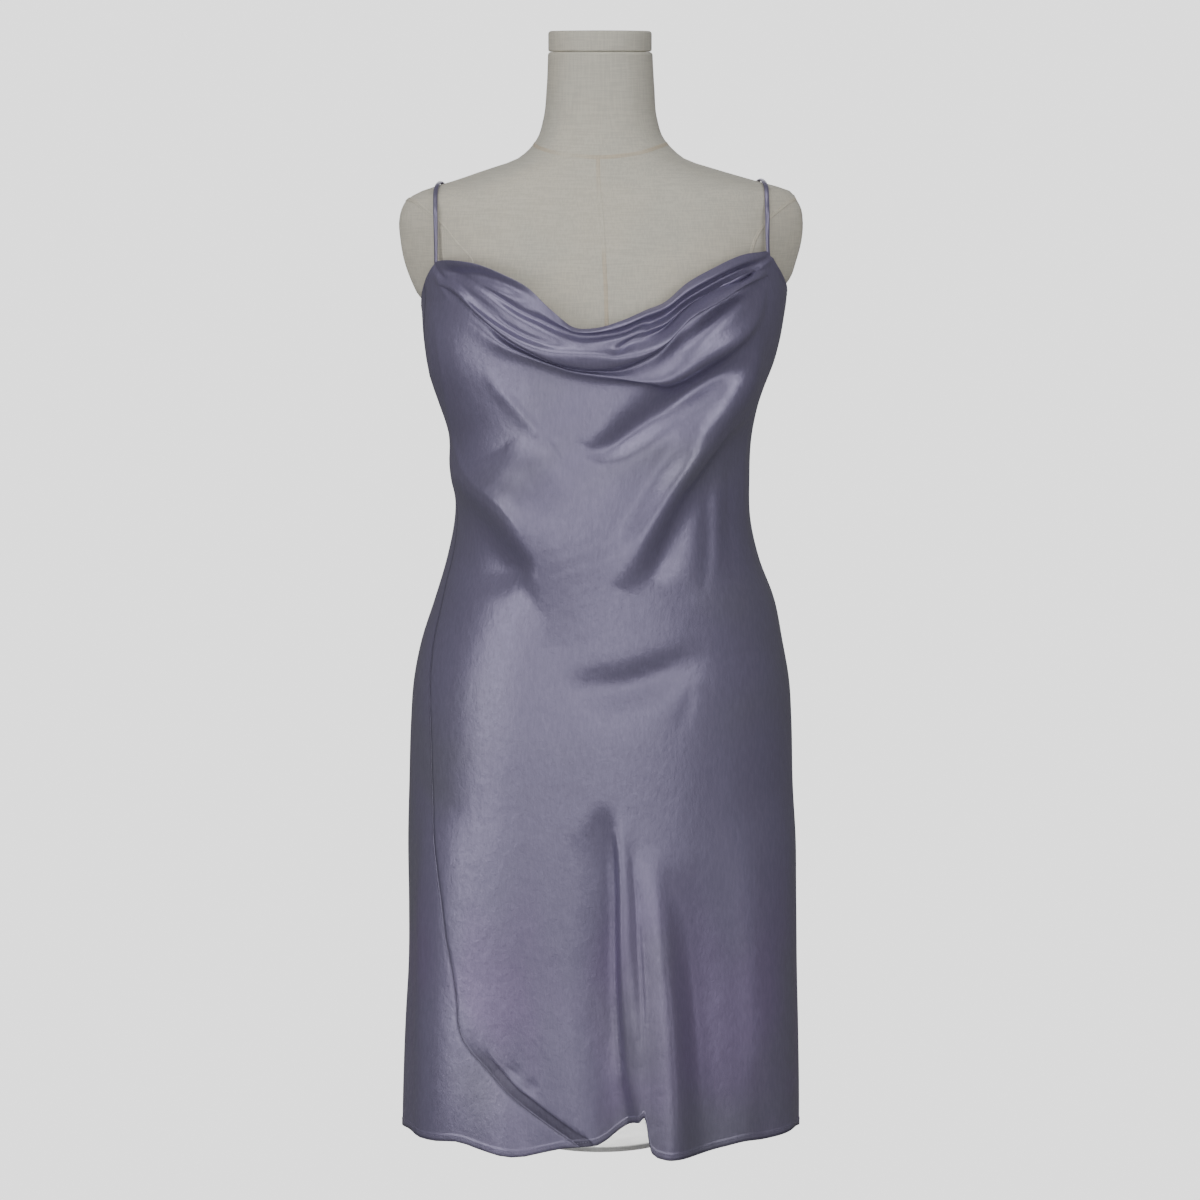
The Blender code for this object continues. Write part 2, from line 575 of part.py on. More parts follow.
def form_point(angle, height):
    """Skin of the form at an angle and a height."""
    x, y, out_x, out_y = ring_point(FORM_RINGS, angle, height)
    heights, shares = zip(*ARM_CAP_PINCH)
    y = y * (1 - smooth_curve(heights, shares, height) * np.sin(angle) ** 4)
    distance = np.hypot(np.abs(x) - BUST_PLACE[0], height - BUST_PLACE[1])
    rise = np.where(y < 0, BUST_RISE * np.exp(-(distance / BUST_SPREAD) ** 2), 0)
    return np.stack((x + out_x * rise, y + out_y * rise, np.broadcast_to(height, x.shape)), axis=-1)


def turns(count):
    """Evenly spaced angles all the way round."""
    return np.arange(count) * 2 * math.pi / count


def make_torso(count=36, tallest=45):
    """Torso through its rings, with more where two lie further apart than the tallest step."""
    heights = [FORM_RINGS[0, 0]]
    for low, high in zip(FORM_RINGS[:-1, 0], FORM_RINGS[1:, 0]):
        steps = max(1, round((high - low) / tallest))
        heights += [low + (high - low) * step / steps for step in range(1, steps + 1)]
    torso = stacked_rings("form_torso", [form_point(turns(count), height) for height in heights])
    give_material(torso, "linen")


def turned_piece(name, finish, profile, count=40):
    """Solid turned round the pole's axis from rows of radius and height."""
    across, away = np.sin(turns(count)), -np.cos(turns(count))
    rings = [np.stack((radius * across, radius * away, np.full(count, height)), axis=-1)
             for radius, height in profile]
    give_material(stacked_rings(name, rings), finish)


def make_stand():
    cap_foot = NECK_TOP + FACE_GAP
    turned_piece("form_neck_cap", "linen", (
        (CAP_RADIUS - 1, cap_foot), (CAP_RADIUS, cap_foot + 1), (CAP_RADIUS, CAP_TOP - CAP_EDGE),
        (CAP_RADIUS - 1, CAP_TOP - 1), (CAP_RADIUS - CAP_EDGE, CAP_TOP)))
    turned_piece("form_pole", "painted steel", (
        (POLE_RADIUS, BASE_THICK + FACE_GAP), (POLE_RADIUS, TORSO_BOTTOM - FACE_GAP)), count=24)
    turned_piece("form_base", "painted steel", (
        (BASE_RADIUS, 0), (BASE_RADIUS, BASE_THICK - BASE_EDGE), (BASE_RADIUS - BASE_EDGE, BASE_THICK)))


def strap_points(side):
    """Middle line of a strap: -1 is the left one, +1 the right one."""
    rows = np.array(STRAP_PATH, float)
    if side > 0:
        front_share = np.linspace(1, 0, len(rows)) ** 3
        rows[:, 0] = -rows[:, 0] + RIGHT_STRAP_SHIFT + RIGHT_STRAP_LEAN * front_share
        rows[:, 2] += RIGHT_STRAP_LIFT * front_share * (rows[:, 2] < LIFTED_BELOW)
    lengths = np.linalg.norm(np.diff(rows, axis=0), axis=1)
    knots = np.concatenate(([0], np.cumsum(lengths)))
    at = np.linspace(0, knots[-1], STRAP_STEPS + 1)
    line = np.array([smooth_curve(knots, rows[:, axis], at) for axis in range(3)]).T
    return lay_on_form(line, STRAP_THICK / 2 + STRAP_CLEARANCE)


def lay_on_form(points, clearance):
    """Keep points at least the clearance off the form, and no more than that on the shoulder."""
    angle, height = np.meshgrid(turns(180), np.arange(*SHOULDER_HEIGHTS, 1.5))
    down = form_point(angle, height - 1) - form_point(angle, height + 1)
    across = form_point(angle + NORMAL_TURN, height) - form_point(angle - NORMAL_TURN, height)
    out = unit(np.cross(down, across)).reshape(-1, 3)
    skin = form_point(angle, height).reshape(-1, 3)
    points = points.copy()
    for _ in range(3):
        for place, point in enumerate(points):
            nearest = np.argmin(((skin - point) ** 2).sum(axis=1))
            short = clearance - (point - skin[nearest]) @ out[nearest]
            straight = unit(out[nearest] * (0, 1, 1))
            move = short / (straight @ out[nearest])
            points[place] += max(move, move * soft_step(*STRAP_RESTS, point[2])) * straight
    return points


def strap_facing(middle):
    """Direction that a strap's flat side faces: away from the shoulder, and at its ends the body."""
    off_shoulder = unit(middle * (0, 1, 1) - (0, 0, SHOULDER_CORE))
    half_width, half_depth = BODY_HALVES
    off_body = unit(middle * (1 / half_width**2, 1 / half_depth**2, 0))
    share = soft_step(*STRAP_TURNS, middle[:, 2:])
    return off_body + (off_shoulder - off_body) * share


def make_strap(name, side):
    middle = strap_points(side)
    run = unit(np.gradient(middle, axis=0))
    across = unit(np.cross(run, strap_facing(middle)))
    inward = np.cross(run, across)
    turn = turns(STRAP_SIDES)[:, None]
    half_width, half_depth = STRAP_WIDTH / 2, STRAP_THICK / 2
    rings = [point + half_width * np.cos(turn) * wide + half_depth * np.sin(turn) * deep
             for point, wide, deep in zip(middle, across, inward)]
    give_material(stacked_rings(name, rings), "satin")


def main():
    for item in list(bpy.data.objects):
        bpy.data.objects.remove(item)
    make_torso()
    make_stand()
    make_panel("dress_front", FRONT_ROWS, True)
    make_panel("dress_back", BACK_ROWS, False)
    make_strap("dress_strap_left", -1)
    make_strap("dress_strap_right", 1)


main()
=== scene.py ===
import math

import bpy
import numpy as np
from mathutils import Matrix


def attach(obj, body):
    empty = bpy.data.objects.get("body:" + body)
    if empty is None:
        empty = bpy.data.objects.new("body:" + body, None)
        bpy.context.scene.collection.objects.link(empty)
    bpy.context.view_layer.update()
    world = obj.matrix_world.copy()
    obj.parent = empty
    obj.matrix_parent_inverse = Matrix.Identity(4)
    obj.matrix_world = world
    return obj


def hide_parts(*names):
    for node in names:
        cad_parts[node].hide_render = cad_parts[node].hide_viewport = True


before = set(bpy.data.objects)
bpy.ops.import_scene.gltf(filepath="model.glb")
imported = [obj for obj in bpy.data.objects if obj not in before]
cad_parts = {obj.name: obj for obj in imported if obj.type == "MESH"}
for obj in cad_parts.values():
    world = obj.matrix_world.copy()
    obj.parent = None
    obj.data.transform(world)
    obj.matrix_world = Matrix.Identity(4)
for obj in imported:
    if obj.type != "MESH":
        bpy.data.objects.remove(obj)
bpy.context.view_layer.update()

# Looks of a slip dress on a limbless dress form. The dress is a bias-cut satin front with a draped
# cowl, a plain low back and two rouleau straps. The form is covered in linen.
# Tables are in millimetres and degrees. The front faces -Y, and an angle round the body is 0 at
# the front, +90 at +X and 180 at the back.

MM = 0.001

# Cloth and making
CLOTH_THICK = 0.9
SEAM_GAP = 0.04
STRAP_WIDTH = 4.4
STRAP_THICK = 2.6
SQUARENESS = 0.03          # how far the rings swell out at their four corners
FACE_GAP = 0.3             # between two hard pieces that touch
SKIRT_RADIUS = 190.0       # turns a distance across the seam into an angle
HEM_BAND = 7.0             # depth of the turned hem
ARMHOLE_BAND = 5.0         # depth of the turned edge of the armholes and the back
BAND_RISE = 0.4            # how far a turned edge stands out
BAND_SOFT = 0.7
STITCH_INSET = 1.6         # from a turned edge's raw side down to its stitches
STITCH_PITCH = 2.6
STITCH_LENGTH = 2.0
STITCH_RADIUS = 0.22
STITCH_PROFILE = (0.15, 0.7, 1.0, 0.7, 0.15)       # share of that radius along a stitch
STITCH_SIDES = 6
STITCH_RISE = 0.5          # how far a stitch's middle stands off the cloth, as a share of its radius
EDGE_TURNS = (58, 66)      # degrees over which the front's top edge becomes an armhole edge
RIM_ROUND = 0.35           # how far the cloth's rim swells out, as a share of its thickness
SEAM_GROOVE = 0.25
SEAM_GROOVE_WIDTH = 3.0
SEAM_PAINTED_SHADE = 0.8           # how dark the painted shade in the seam's groove is, as a share of the allowance below it
SEAM_PAINTED_SHADE_WIDTH = 2.8
SEAM_SLOPE_REACH = 4.0     # heights above and below that the seam's slope is read between
ALLOWANCE = 11.0           # pressed seam allowance beside the low seam, where the front steps in and is darkened with painted shade
ALLOWANCE_STEP = 0.6
ALLOWANCE_SOFT = 1.0
ALLOWANCE_START = (0.0, 1.5)       # distances from the seam over which it begins
ALLOWANCE_FADE = (105, 135)        # heights over which it ends
# Painted shade of the dip over the pressed allowance:
ALLOWANCE_PAINTED_SHADE = 0.6      # how dark it is at its top,
ALLOWANCE_PAINTED_SHADE_GAIN = 0.4         # how much darker low down,
ALLOWANCE_PAINTED_SHADE_FADE = (70, 112)   # and the heights between
HEM_PAINTED_SHADE = 0.75           # how dark the painted shade at the rolled edge of the hem is
HEM_PAINTED_SHADE_FADE = (1.8, 3.6)        # heights above the hem over which that ends

# Dress form
NECK_TOP = 1074.7
CAP_TOP = 1095.0
CAP_RADIUS = 50.3
CAP_EDGE = 3.0
TORSO_BOTTOM = 300.0
POLE_RADIUS = 16.0
BASE_RADIUS = 75.0
BASE_THICK = 6.0
BASE_EDGE = 2.0
CAP_FOOT_EDGE = 2.2
STAND_EDGE = 0.6
CAP_TOP_STEPS = (12, 30)           # how far in from its rim the cap's flat top has rings
BASE_TOP_REACH = (10, -4)          # how far out from the pole's side the base's flat top has them
ROUND_SIDES = 96
POLE_SIDES = 48
ROUND_STEPS = 6
TORSO_SIDES = 168
TORSO_STEP = 4.5
TORSO_ENDS = (6, 2)        # where its even rings start above the bottom and end below the neck's top
TORSO_FOOT_STEPS = (0, 0.8, 2.5)   # close rings above the bottom,
TORSO_FOOT_REACH = 3.0     # the height over which they round in,
TORSO_FOOT_ROUND = 0.012   # and by which share of their width
NECK_TOP_STEPS = (2.4, 0.8, 0)     # close rings below the neck's top
NECK_TOP_SHARES = (0.985, 0.955)   # width of the last two
SKIN_STEP = 1.0            # half the height,
SKIN_TURN = 0.01           # and half the angle in radians, that the form's slope is read over
BUST_RISE = 6.0
BUST_PLACE = (82.0, 785.0)
BUST_SPREAD = 42.0

# Rings of the dress: height, half width at the left and right, depth at the front and back
DRESS_RINGS = np.array([
    (0, 198, 199, 142, 134),
    (60, 196.5, 198.5, 141, 132),
    (120, 194, 197, 139, 130),
    (180, 190.5, 195, 137, 128),
    (240, 190, 194, 136, 126),
    (300, 190.5, 194, 135, 125),
    (360, 189, 191, 134, 124),
    (420, 187, 189.5, 133, 122),
    (460, 184, 187, 131.5, 120),
    (500, 176, 180, 130, 114),
    (540, 163, 172, 129, 104),
    (580, 151, 157, 128.5, 94),
    (620, 143, 148, 128.5, 88),
    (660, 141.5, 147, 128.5, 89),
    (700, 140.5, 149, 128.5, 92),
    (740, 151.5, 157, 128.5, 94),
    (776, 166, 171, 128.5, 96),
    (800, 172, 177, 128.5, 97),
    (818, 173.8, 180, 127, 97),
    (836, 174.8, 182.5, 123, 96),
    (860, 176, 182.5, 118, 95),
    (890, 177.5, 184, 108, 94),
], float)

# Rings of the form: height, half width at the left and right, depth at the front and back
FORM_RINGS = np.array([
    (300, 168, 168, 88, 102),
    (330, 173, 173, 92, 106),
    (430, 176, 178, 97, 112),
    (490, 168, 171, 95, 106),
    (550, 146, 150, 88, 92),
    (620, 122, 125, 80, 74),
    (660, 122, 124, 84, 74),
    (720, 136, 136, 96, 80),
    (780, 150, 150, 106, 86),
    (808, 156, 157, 105, 89),
    (822, 162, 163, 103, 89),
    (830, 168, 166, 102, 89),
    (838, 177, 172, 101, 89),
    (846, 181.5, 179, 99, 88),
    (854, 185, 185, 97, 88),
    (873, 191.5, 192, 93, 85),
    (893, 195, 197, 87, 80),
    (912, 196, 198, 81, 74),
    (924, 193, 196, 77, 70),
    (933, 187, 191, 74, 67),
    (941, 172, 184, 71, 64),
    (951, 140, 149, 68, 61),
    (961, 111, 114.5, 65, 59),
    (970, 84, 86, 62, 57),
    (980, 70, 72, 59, 55),
    (990, 62, 63, 56, 53),
    (1009, 55.5, 56, 53, 51),
    (1040, 52, 53, 51.5, 51),
    (1074.7, 50.5, 51, 50.5, 50.5),
], float)

# How far the form's rings close in at the arm caps: height, share of the depth
ARM_CAP_PINCH = ((800, 0), (830, 0.5), (915, 0.5), (945, 0.3), (985, 0))
ARM_CAP_FOCUS = 4          # the higher, the nearer to the sides they do so

# Stations across the cowl, from the left strap point to the right one. Where a ring is narrower,
# the outer ones stay within this share of its half width.
COWL_X = (-158, -137, -112, -88, -65, -45, -25, -5, 20, 43, 60, 80, 105, 131, 161)
COWL_REACH = 0.93

# Heights of the cowl's folds. Row: side seam, the stations above, side seam
COWL_HEIGHTS = {
    "top edge":     (853, 874, 876, 873, 864, 851, 830, 815, 814, 821, 831, 838, 855, 869, 880, 884, 846),
    "top roll":     (848, 870, 868, 858, 847, 838, 823, 811, 810, 815, 826, 833, 848, 861, 872, 880, 842),
    "top crease":   (842, 867, 863, 851, 838, 827, 816, 808, 806, 809, 818, 824, 839, 853, 865, 875, 837),
    "second roll":  (836, 864, 858, 844, 829, 817, 808, 801, 800, 803, 812, 818, 833, 847, 860, 870, 832),
    "hollow":       (829, 861, 854, 836, 818, 806, 798, 795, 794, 796, 805, 813, 831, 847, 860, 868, 827),
    "main roll":    (822, 858, 849, 829, 811, 798, 791, 789, 788, 788, 794, 804, 825, 840, 855, 865, 821),
    "main lip":     (815, 855, 845, 824, 805, 792, 783, 778, 776, 779, 788, 799, 821, 836, 851, 861, 814),
    "tuck":         (808, 852, 841, 820, 801, 789, 780, 775, 773, 774, 783, 793, 815, 831, 847, 858, 807),
    "third crest":  (798, 842, 828, 808, 794, 785, 778, 772, 769, 766, 763, 764, 772, 789, 806, 836, 797),
    "third foot":   (780, 816, 800, 788, 780, 774, 768, 764, 761, 760, 759, 753, 757, 769, 788, 808, 780),
    "flat front":   (748, 748, 748, 746, 744, 742, 740, 738, 736, 734, 733, 734, 738, 742, 746, 748, 748),
}

# How far each fold stands out of the rings, at the stations
COWL_OUT = {
    "top edge":     (0, 8, 10, 11, 10, 7, 4, 4, 5, 5, 5, 5, 5, 3, 0),
    "top roll":     (0, 7, 8.5, 9, 8.5, 8, 8, 8, 9, 10, 11, 11, 9, 5, 0),
    "top crease":   (0, 4.5, 5.5, 6, 6, 6, 5, 3, 1, 0, -1, -3, -5, -4, 0),
    "second roll":  (0, 3, 5, 7, 9, 10, 9, 8, 7, 8, 7, 3, 0, 1, 0),
    "hollow":       (0, 2, 3.5, 6, 9, 11, 12, 12, 8, 4, 1, 1, 2, 2, 0),
    "main roll":    (0, 5, 9, 11.5, 13.5, 14.5, 15, 15, 15, 14, 13, 13, 13, 10, 0),
    "main lip":     (0, 4, 8, 10, 12, 12, 11.5, 11, 12, 13, 14, 15, 14.5, 11, 0),
    "tuck":         (0, 0, 0, -1, 0, 1, 2, 2, 2, 0, -2, -3, -4, -3, 0),
    "third crest":  (0, 1, 2, 3, 3, 3, 4, 5, 6, 8, 11, 13, 12, 9, 0),
    "third foot":   (0, 0, 0, 0, 0, 0, 0, 0, 0, 0, 0, 0, 0, 0, 0),
    "flat front":   (0,) * 15,
}

COWL_LEVELS = len(COWL_HEIGHTS) - 1        # rows of folds above the plain front
BODY_LEVELS = 24                           # rows from there to the hem
LAST_LEVEL = COWL_LEVELS + BODY_LEVELS

BACK_TOP = 804.0           # top edge in the middle of the back
ARMHOLE_DIP = 1.5          # how far the right armhole's edge hollows below a straight line
BACK_TOP_RISE = 4.0        # the higher, the later the edge climbs to the side seams

# Hem: angle, height
HEM = np.array([
    (-180, 9), (-160, 14), (-140, 18), (-120, 12), (-100, 9), (-84, 13), (-70, 17.5), (-60, 17),
    (-50.6, 17.3), (-42.2, 19.5), (-35, 14.6), (-28, 11), (-22.4, 11), (-15.8, 16), (-10.2, 20.3),
    (-5, 21.5), (-1.2, 22.5), (1.8, 27), (4.8, 34.5), (8, 41.5), (10.8, 45.5), (12.6, 46.5), (13.2, 32),
    (13.8, 20), (14.8, 15), (16.8, 12), (21.4, 10.9), (29.8, 11), (36.6, 15), (42.6, 18.7), (51.4, 17.8),
    (61, 19), (70, 20), (82, 15), (100, 9), (120, 13), (140, 17), (160, 12), (180, 9),
], float)

# Left side seam: height, degrees left of the middle of the front. It swings across the front
# below 134, so the back panel comes round to the front at that corner of the hem.
LEFT_SEAM = np.array([
    (0, 1), (21.5, 6.2), (27.7, 8.4), (34, 11.2), (45, 15.8), (56.5, 20.4), (73.6, 27), (95, 33.6),
    (111, 39.2), (124, 42.2), (138, 43.4), (158, 44), (187, 46), (216, 48.4), (255, 50.4), (293, 52.8),
    (322, 55), (351, 57), (370, 57.8), (410, 59), (448, 61), (490, 64.5), (530, 68.5), (570, 72.5),
    (610, 76), (660, 77.5), (716, 77.5), (776, 75.5), (836, 74), (890, 73),
], float)

# Draped folds: each row of a path is x, height, how far the cloth stands out there, and the
# fold's width on the left hand and the right hand of someone walking the path.
FRONT_FOLDS = {
    "hollow under the top edge": (
        (-156, 869, 0, 6, 8), (-137, 864, -7, 7, 9), (-112, 861, -7, 7, 9), (-90, 855, -4, 6, 7),
        (-66, 844, 0, 5, 5)),
    "drape under right bust": (
        (146, 778, 0, 8, 10), (120, 768, -8, 11, 14), (98, 756, -11, 12, 16), (72, 738, -11, 13, 17),
        (50, 725, -11, 13, 17), (30, 712, -10, 12, 15), (12, 701, -7, 10, 12), (-16, 694, 0, 6, 7)),
    "right edge of the v": (
        (153, 828, 0, 13, 30), (149, 802, 4, 13, 30), (143, 776, 8, 14, 26), (135, 752, 11, 16, 20),
        (119, 733, 12, 18, 16), (101, 714, 13, 18, 14), (82, 686, 13, 18, 13), (62, 658, 13, 19, 13),
        (50, 636, 12, 19, 14), (39, 613, 10, 18, 14), (30, 589, 6, 16, 12), (19, 565, 0, 12, 10)),
    "hollow right of the v": (
        (150, 718, 0, 14, 8), (130, 700, -4, 20, 9), (108, 676, -5, 22, 10), (86, 648, -5, 20, 10),
        (71, 620, -5, 18, 11), (59, 592, -4, 16, 11), (50, 570, 0, 12, 10)),
    "inner fold of the v": (
        (116, 738, 0, 7, 9), (98, 712, -2.6, 8, 11), (71, 682, -3.2, 8, 11), (44, 644, -3, 9, 12),
        (18, 606, 0, 10, 12)),
    "left edge of the v": (
        (-163, 836, 0, 24, 10), (-158, 804, 6, 28, 12), (-154, 770, 9, 32, 14), (-150, 735, 10, 34, 16),
        (-138, 696, 9, 30, 19), (-123, 668, 13, 30, 22), (-96, 649, 17, 38, 24), (-78, 627, 16, 44, 25),
        (-68, 606, 13, 50, 24), (-59, 584, 9, 50, 18), (-52, 560, 5, 46, 13), (-46, 534, 2, 40, 12),
        (-42, 508, 0, 36, 12)),
    "left hollow": (
        (-150, 570, 0, 30, 16), (-120, 577, -5, 36, 18), (-98, 581, -8, 36, 18), (-80, 584, -7, 30, 14),
        (-68, 586, -4, 20, 10), (-58, 588, 0, 12, 7)),
    "tummy crease": (
        (-38, 468, 0, 11, 16), (-8, 470, -4, 13, 20), (24, 473, -6, 13, 22), (54, 482, -6, 12, 20),
        (84, 493, -3, 11, 16), (106, 502, 0, 10, 14)),
    "middle flute": (
        (-6, 350, 0, 14, 16), (4, 336, -3.4, 9, 20), (9, 310, -6.2, 7, 26), (12, 270, -7.6, 6, 29),
        (12, 225, -8.8, 6, 31), (12, 180, -9.6, 7, 32), (14, 140, -10.2, 8, 33), (17, 100, -10.6, 8, 33),
        (24, 60, -12, 8, 34), (33, 20, -14, 8, 34), (36, -10, -15, 8, 34)),
    "right ridge": (
        (46, 312, 0, 13, 14), (54, 255, 7, 15, 20), (57, 213, 10, 16, 22), (60, 176, 12, 18, 24),
        (63, 139, 14, 20, 26), (66, 84, 15, 20, 26), (67, 40, 16, 20, 24), (67, -10, 16, 20, 24)),
    "right flute": (
        (86, 300, 0, 24, 16), (90, 250, -3, 26, 16), (94, 200, -5, 28, 17), (96, 150, -6, 28, 18),
        (100, 100, -6, 28, 20), (106, 50, -7, 26, 20), (112, -10, -8, 26, 20)),
    "right side flare": (
        (166, 356, 0, 12, 30), (176, 325, 3, 13, 42), (180, 270, 5, 13, 46), (181, 150, 6, 13, 46),
        (181, -10, 6, 13, 46)),
    "outer right flute": (
        (152, 100, 0, 16, 16), (158, 40, -3, 14, 14), (162, 0, -5, 12, 14)),
    "left hem wave": (
        (-90, 90, 0, 20, 20), (-88, 40, 4, 22, 22), (-88, 0, 7, 22, 22)),
    "left side flare": (
        (-162, 350, 0, 30, 10), (-167, 318, 4, 36, 10), (-169, 260, 7, 38, 10), (-170, 150, 8, 38, 11),
        (-170, -10, 7, 38, 12)),
}

BACK_FOLDS = {
    "drape from the left": (
        (-128, 790, 0, 12, 18), (-96, 722, -4, 12, 20), (-52, 668, -6, 12, 20), (-8, 634, -4, 12, 16),
        (20, 622, 0, 10, 12)),
    "drape from the right": (
        (132, 770, 0, 18, 12), (104, 706, -5, 20, 12), (66, 652, -7, 20, 12), (30, 606, -5, 16, 12),
        (8, 580, 0, 12, 10)),
    "seat crease": (
        (-70, 556, 0, 10, 14), (-26, 548, -4, 10, 16), (24, 552, -5, 10, 16), (74, 566, 0, 10, 12)),
    "back flute right": (
        (62, 330, 0, 20, 22), (58, 230, -6, 24, 26), (54, 120, -15, 28, 30), (50, 0, -30, 28, 30)),
    "back flute left": (
        (-86, 300, 0, 22, 22), (-84, 200, -5, 26, 26), (-80, 100, -13, 28, 28), (-78, 0, -26, 28, 30)),
    "back ridge": (
        (-14, 310, 0, 26, 26), (-14, 200, 5, 30, 30), (-12, 100, 9, 34, 34), (-12, 0, 14, 36, 36)),
}

# Sharp creases and small puckers of the front, in the same columns as the folds
FRONT_CREASES = {
    "pocket at the middle": (
        (-6, 806, 0, 3, 3), (8, 809, -2.2, 3, 4), (26, 814, -2.6, 3, 4), (42, 820, -1.6, 3, 3),
        (50, 824, 0, 3, 3)),
    "rim of the pocket": (
        (-14, 802, 0, 3, 3), (6, 803, 1.2, 3, 3), (25, 806, 1.6, 3, 3), (39, 813, 1.6, 3, 3),
        (49, 822, 0, 2, 3)),
    "pinch": (
        (9, 788, 0, 3, 4), (20, 796, -2.6, 3, 4), (37, 808, -2.0, 3, 3), (54, 822, -1.0, 3, 3),
        (72, 834, 0, 3, 3)),
    "slit of the right roll": (
        (110, 846, 0, 3, 3), (126, 856, -2.4, 3, 3), (140, 862, -4, 3, 2.5), (148, 867, -2.5, 3, 2.5),
        (157, 871, 0, 2, 2)),
    "ridge below the rim": (
        (148, 846, 0, 8, 4), (134, 834, 4.0, 9, 5), (120, 823, 5.0, 9, 6), (105, 811, 4.4, 9, 6),
        (90, 798, 2.6, 9, 6), (76, 788, 0, 8, 6)),
    "turned top edge": (
        (-152, 873, 0, 5, 5), (-137, 876, 1.4, 5, 5), (-112, 873, 2, 5, 5), (-88, 864, 2.4, 5, 5),
        (-65, 851, 2.4, 5, 5), (-45, 830, 2, 5, 5), (-28, 816, 0, 4, 4)),
    "left second crease": (
        (-136, 845, 0, 3, 3), (-119, 834, -1.8, 3, 3), (-105, 824, -2.2, 3, 3), (-91, 816, -2.6, 3, 3),
        (-76, 808, -2.6, 3, 3), (-57, 801, -1.4, 3, 3), (-38, 797, 0, 3, 3)),
    "left first crease": (
        (-120, 854, 0, 2, 3), (-105, 847, -1.6, 3, 3), (-91, 838, -2.4, 3, 3), (-76, 829, -3.0, 3, 3),
        (-57, 821, -3.6, 3, 3), (-38, 812, -2.6, 3, 3), (-19, 806, -2.8, 3, 3), (0, 806, -2, 3, 3),
        (14, 809, 0, 3, 3)),
    "right strap pleat": (
        (128, 858, 0, 3, 3), (143, 865, 1.2, 3, 3), (160, 873, 1.8, 3, 3), (168, 881, 1.5, 3, 3)),
    "right strap slit": (
        (156, 874, 0, 2, 2), (163, 878, -2.2, 2, 2), (170, 884, -1, 2, 2)),
    "left strap crease": (
        (-159, 874, 0, 2, 2), (-157, 866, -1.6, 2, 2.5), (-150, 858, -1.6, 2, 3), (-141, 852, 0, 2, 3)),
    "left thread": (
        (-160, 868, 0, 2, 2), (-157, 858, 1.0, 2, 2), (-150, 845, 1.0, 2, 3), (-143, 836, 0, 2, 3)),
    "thin crease below the cowl": (
        (-112, 776, 0, 4, 7), (-101, 760, 1.2, 4, 8), (-83, 741, 1.8, 4, 9), (-53, 708, 1.4, 4, 8),
        (-22, 663, 0, 4, 7)),
    "tummy wrinkle": (
        (-26, 704, 0, 4, 4), (-14, 700, -0.8, 4, 4), (-6, 692, 0, 4, 4)),
    "right soft fold 1": (
        (106, 672, 0, 7, 8), (104, 630, -1.6, 7, 8), (103, 590, -1.4, 7, 8), (100, 550, 0, 7, 8)),
    "right soft ridge": (
        (112, 668, 0, 5, 5), (112, 640, 1.0, 5, 5), (113, 605, 0.8, 5, 5), (112, 570, 0, 5, 5)),
    "right soft fold 2": (
        (128, 700, 0, 7, 6), (126, 660, -1.4, 7, 6), (126, 610, -1.2, 7, 6), (128, 570, 0, 7, 6)),
    "right thin fold": (
        (146, 712, 0, 3, 3), (141, 690, 1, 3, 3), (140, 660, 1, 3, 3), (141, 630, 0.8, 3, 3),
        (146, 600, 0, 3, 3)),
    "edge of the flute": (
        (8, 345, 0, 3, 6), (12, 315, -2, 3, 9), (14.5, 270, -3, 3, 11), (15, 225, -3.5, 3, 11),
        (16, 180, -3, 3, 11), (18, 130, -2, 3, 11), (22, 90, 0, 3, 10)),
    "left ridge of the flute": (
        (18, 345, 0, 7, 6), (21, 305, 2.5, 8, 7), (23, 250, 3.5, 9, 8), (24, 210, 3.5, 9, 8),
        (26, 176, 3, 9, 9), (29, 140, 2, 8, 9), (33, 100, 0, 7, 9)),
    "groove between the ridges": (
        (31, 306, 0, 3, 3), (34.5, 262, -1.8, 3.5, 3.5), (36.5, 220, -2.4, 4, 4), (39, 180, -2.2, 4, 4),
        (41, 139, -1.6, 4, 4), (43, 90, -1, 4, 4), (44, 30, 0, 3, 3)),
    "left edge line": (
        (-162, 830, 0, 2.5, 2), (-157, 800, 0.8, 2.5, 2), (-152, 760, 1, 2.5, 2), (-147, 725, 1, 2.5, 2),
        (-141, 693, 1.2, 2.5, 2), (-127, 667, 1.2, 2.5, 2), (-102, 649, 1, 2.5, 2), (-82, 627, 0.6, 2.5, 2),
        (-72, 612, 0, 2.5, 2)),
    "right edge line": (
        (155, 742, 0, 2, 2.5), (146, 727, 0.8, 2, 2.5), (128, 714, 1, 2, 2.5), (110, 694, 1, 2, 2.5),
        (94, 672, 0.6, 2, 2.5), (84, 658, 0, 2, 2.5)),
    "left strip edge": (
        (-174, 322, 0, 3, 2), (-173, 280, 1.2, 4, 2), (-172, 220, 1.4, 4, 2), (-170, 160, 1.2, 4, 2),
        (-167, 130, 0, 4, 2)),
    "upper pucker of the band": (
        (-88, 88, 0, 3, 3), (-83, 93, -1.2, 3, 3), (-77, 99, 0, 3, 3)),
    "lower pucker of the band": (
        (-72, 73, 0, 3, 3), (-67, 79, -1.2, 3, 3), (-61, 86, 0, 3, 3)),
    "hip diagonal": (
        (88, 487, 0, 6, 10), (84, 444, -0.9, 6, 12), (70, 419, 0, 6, 10)),
}

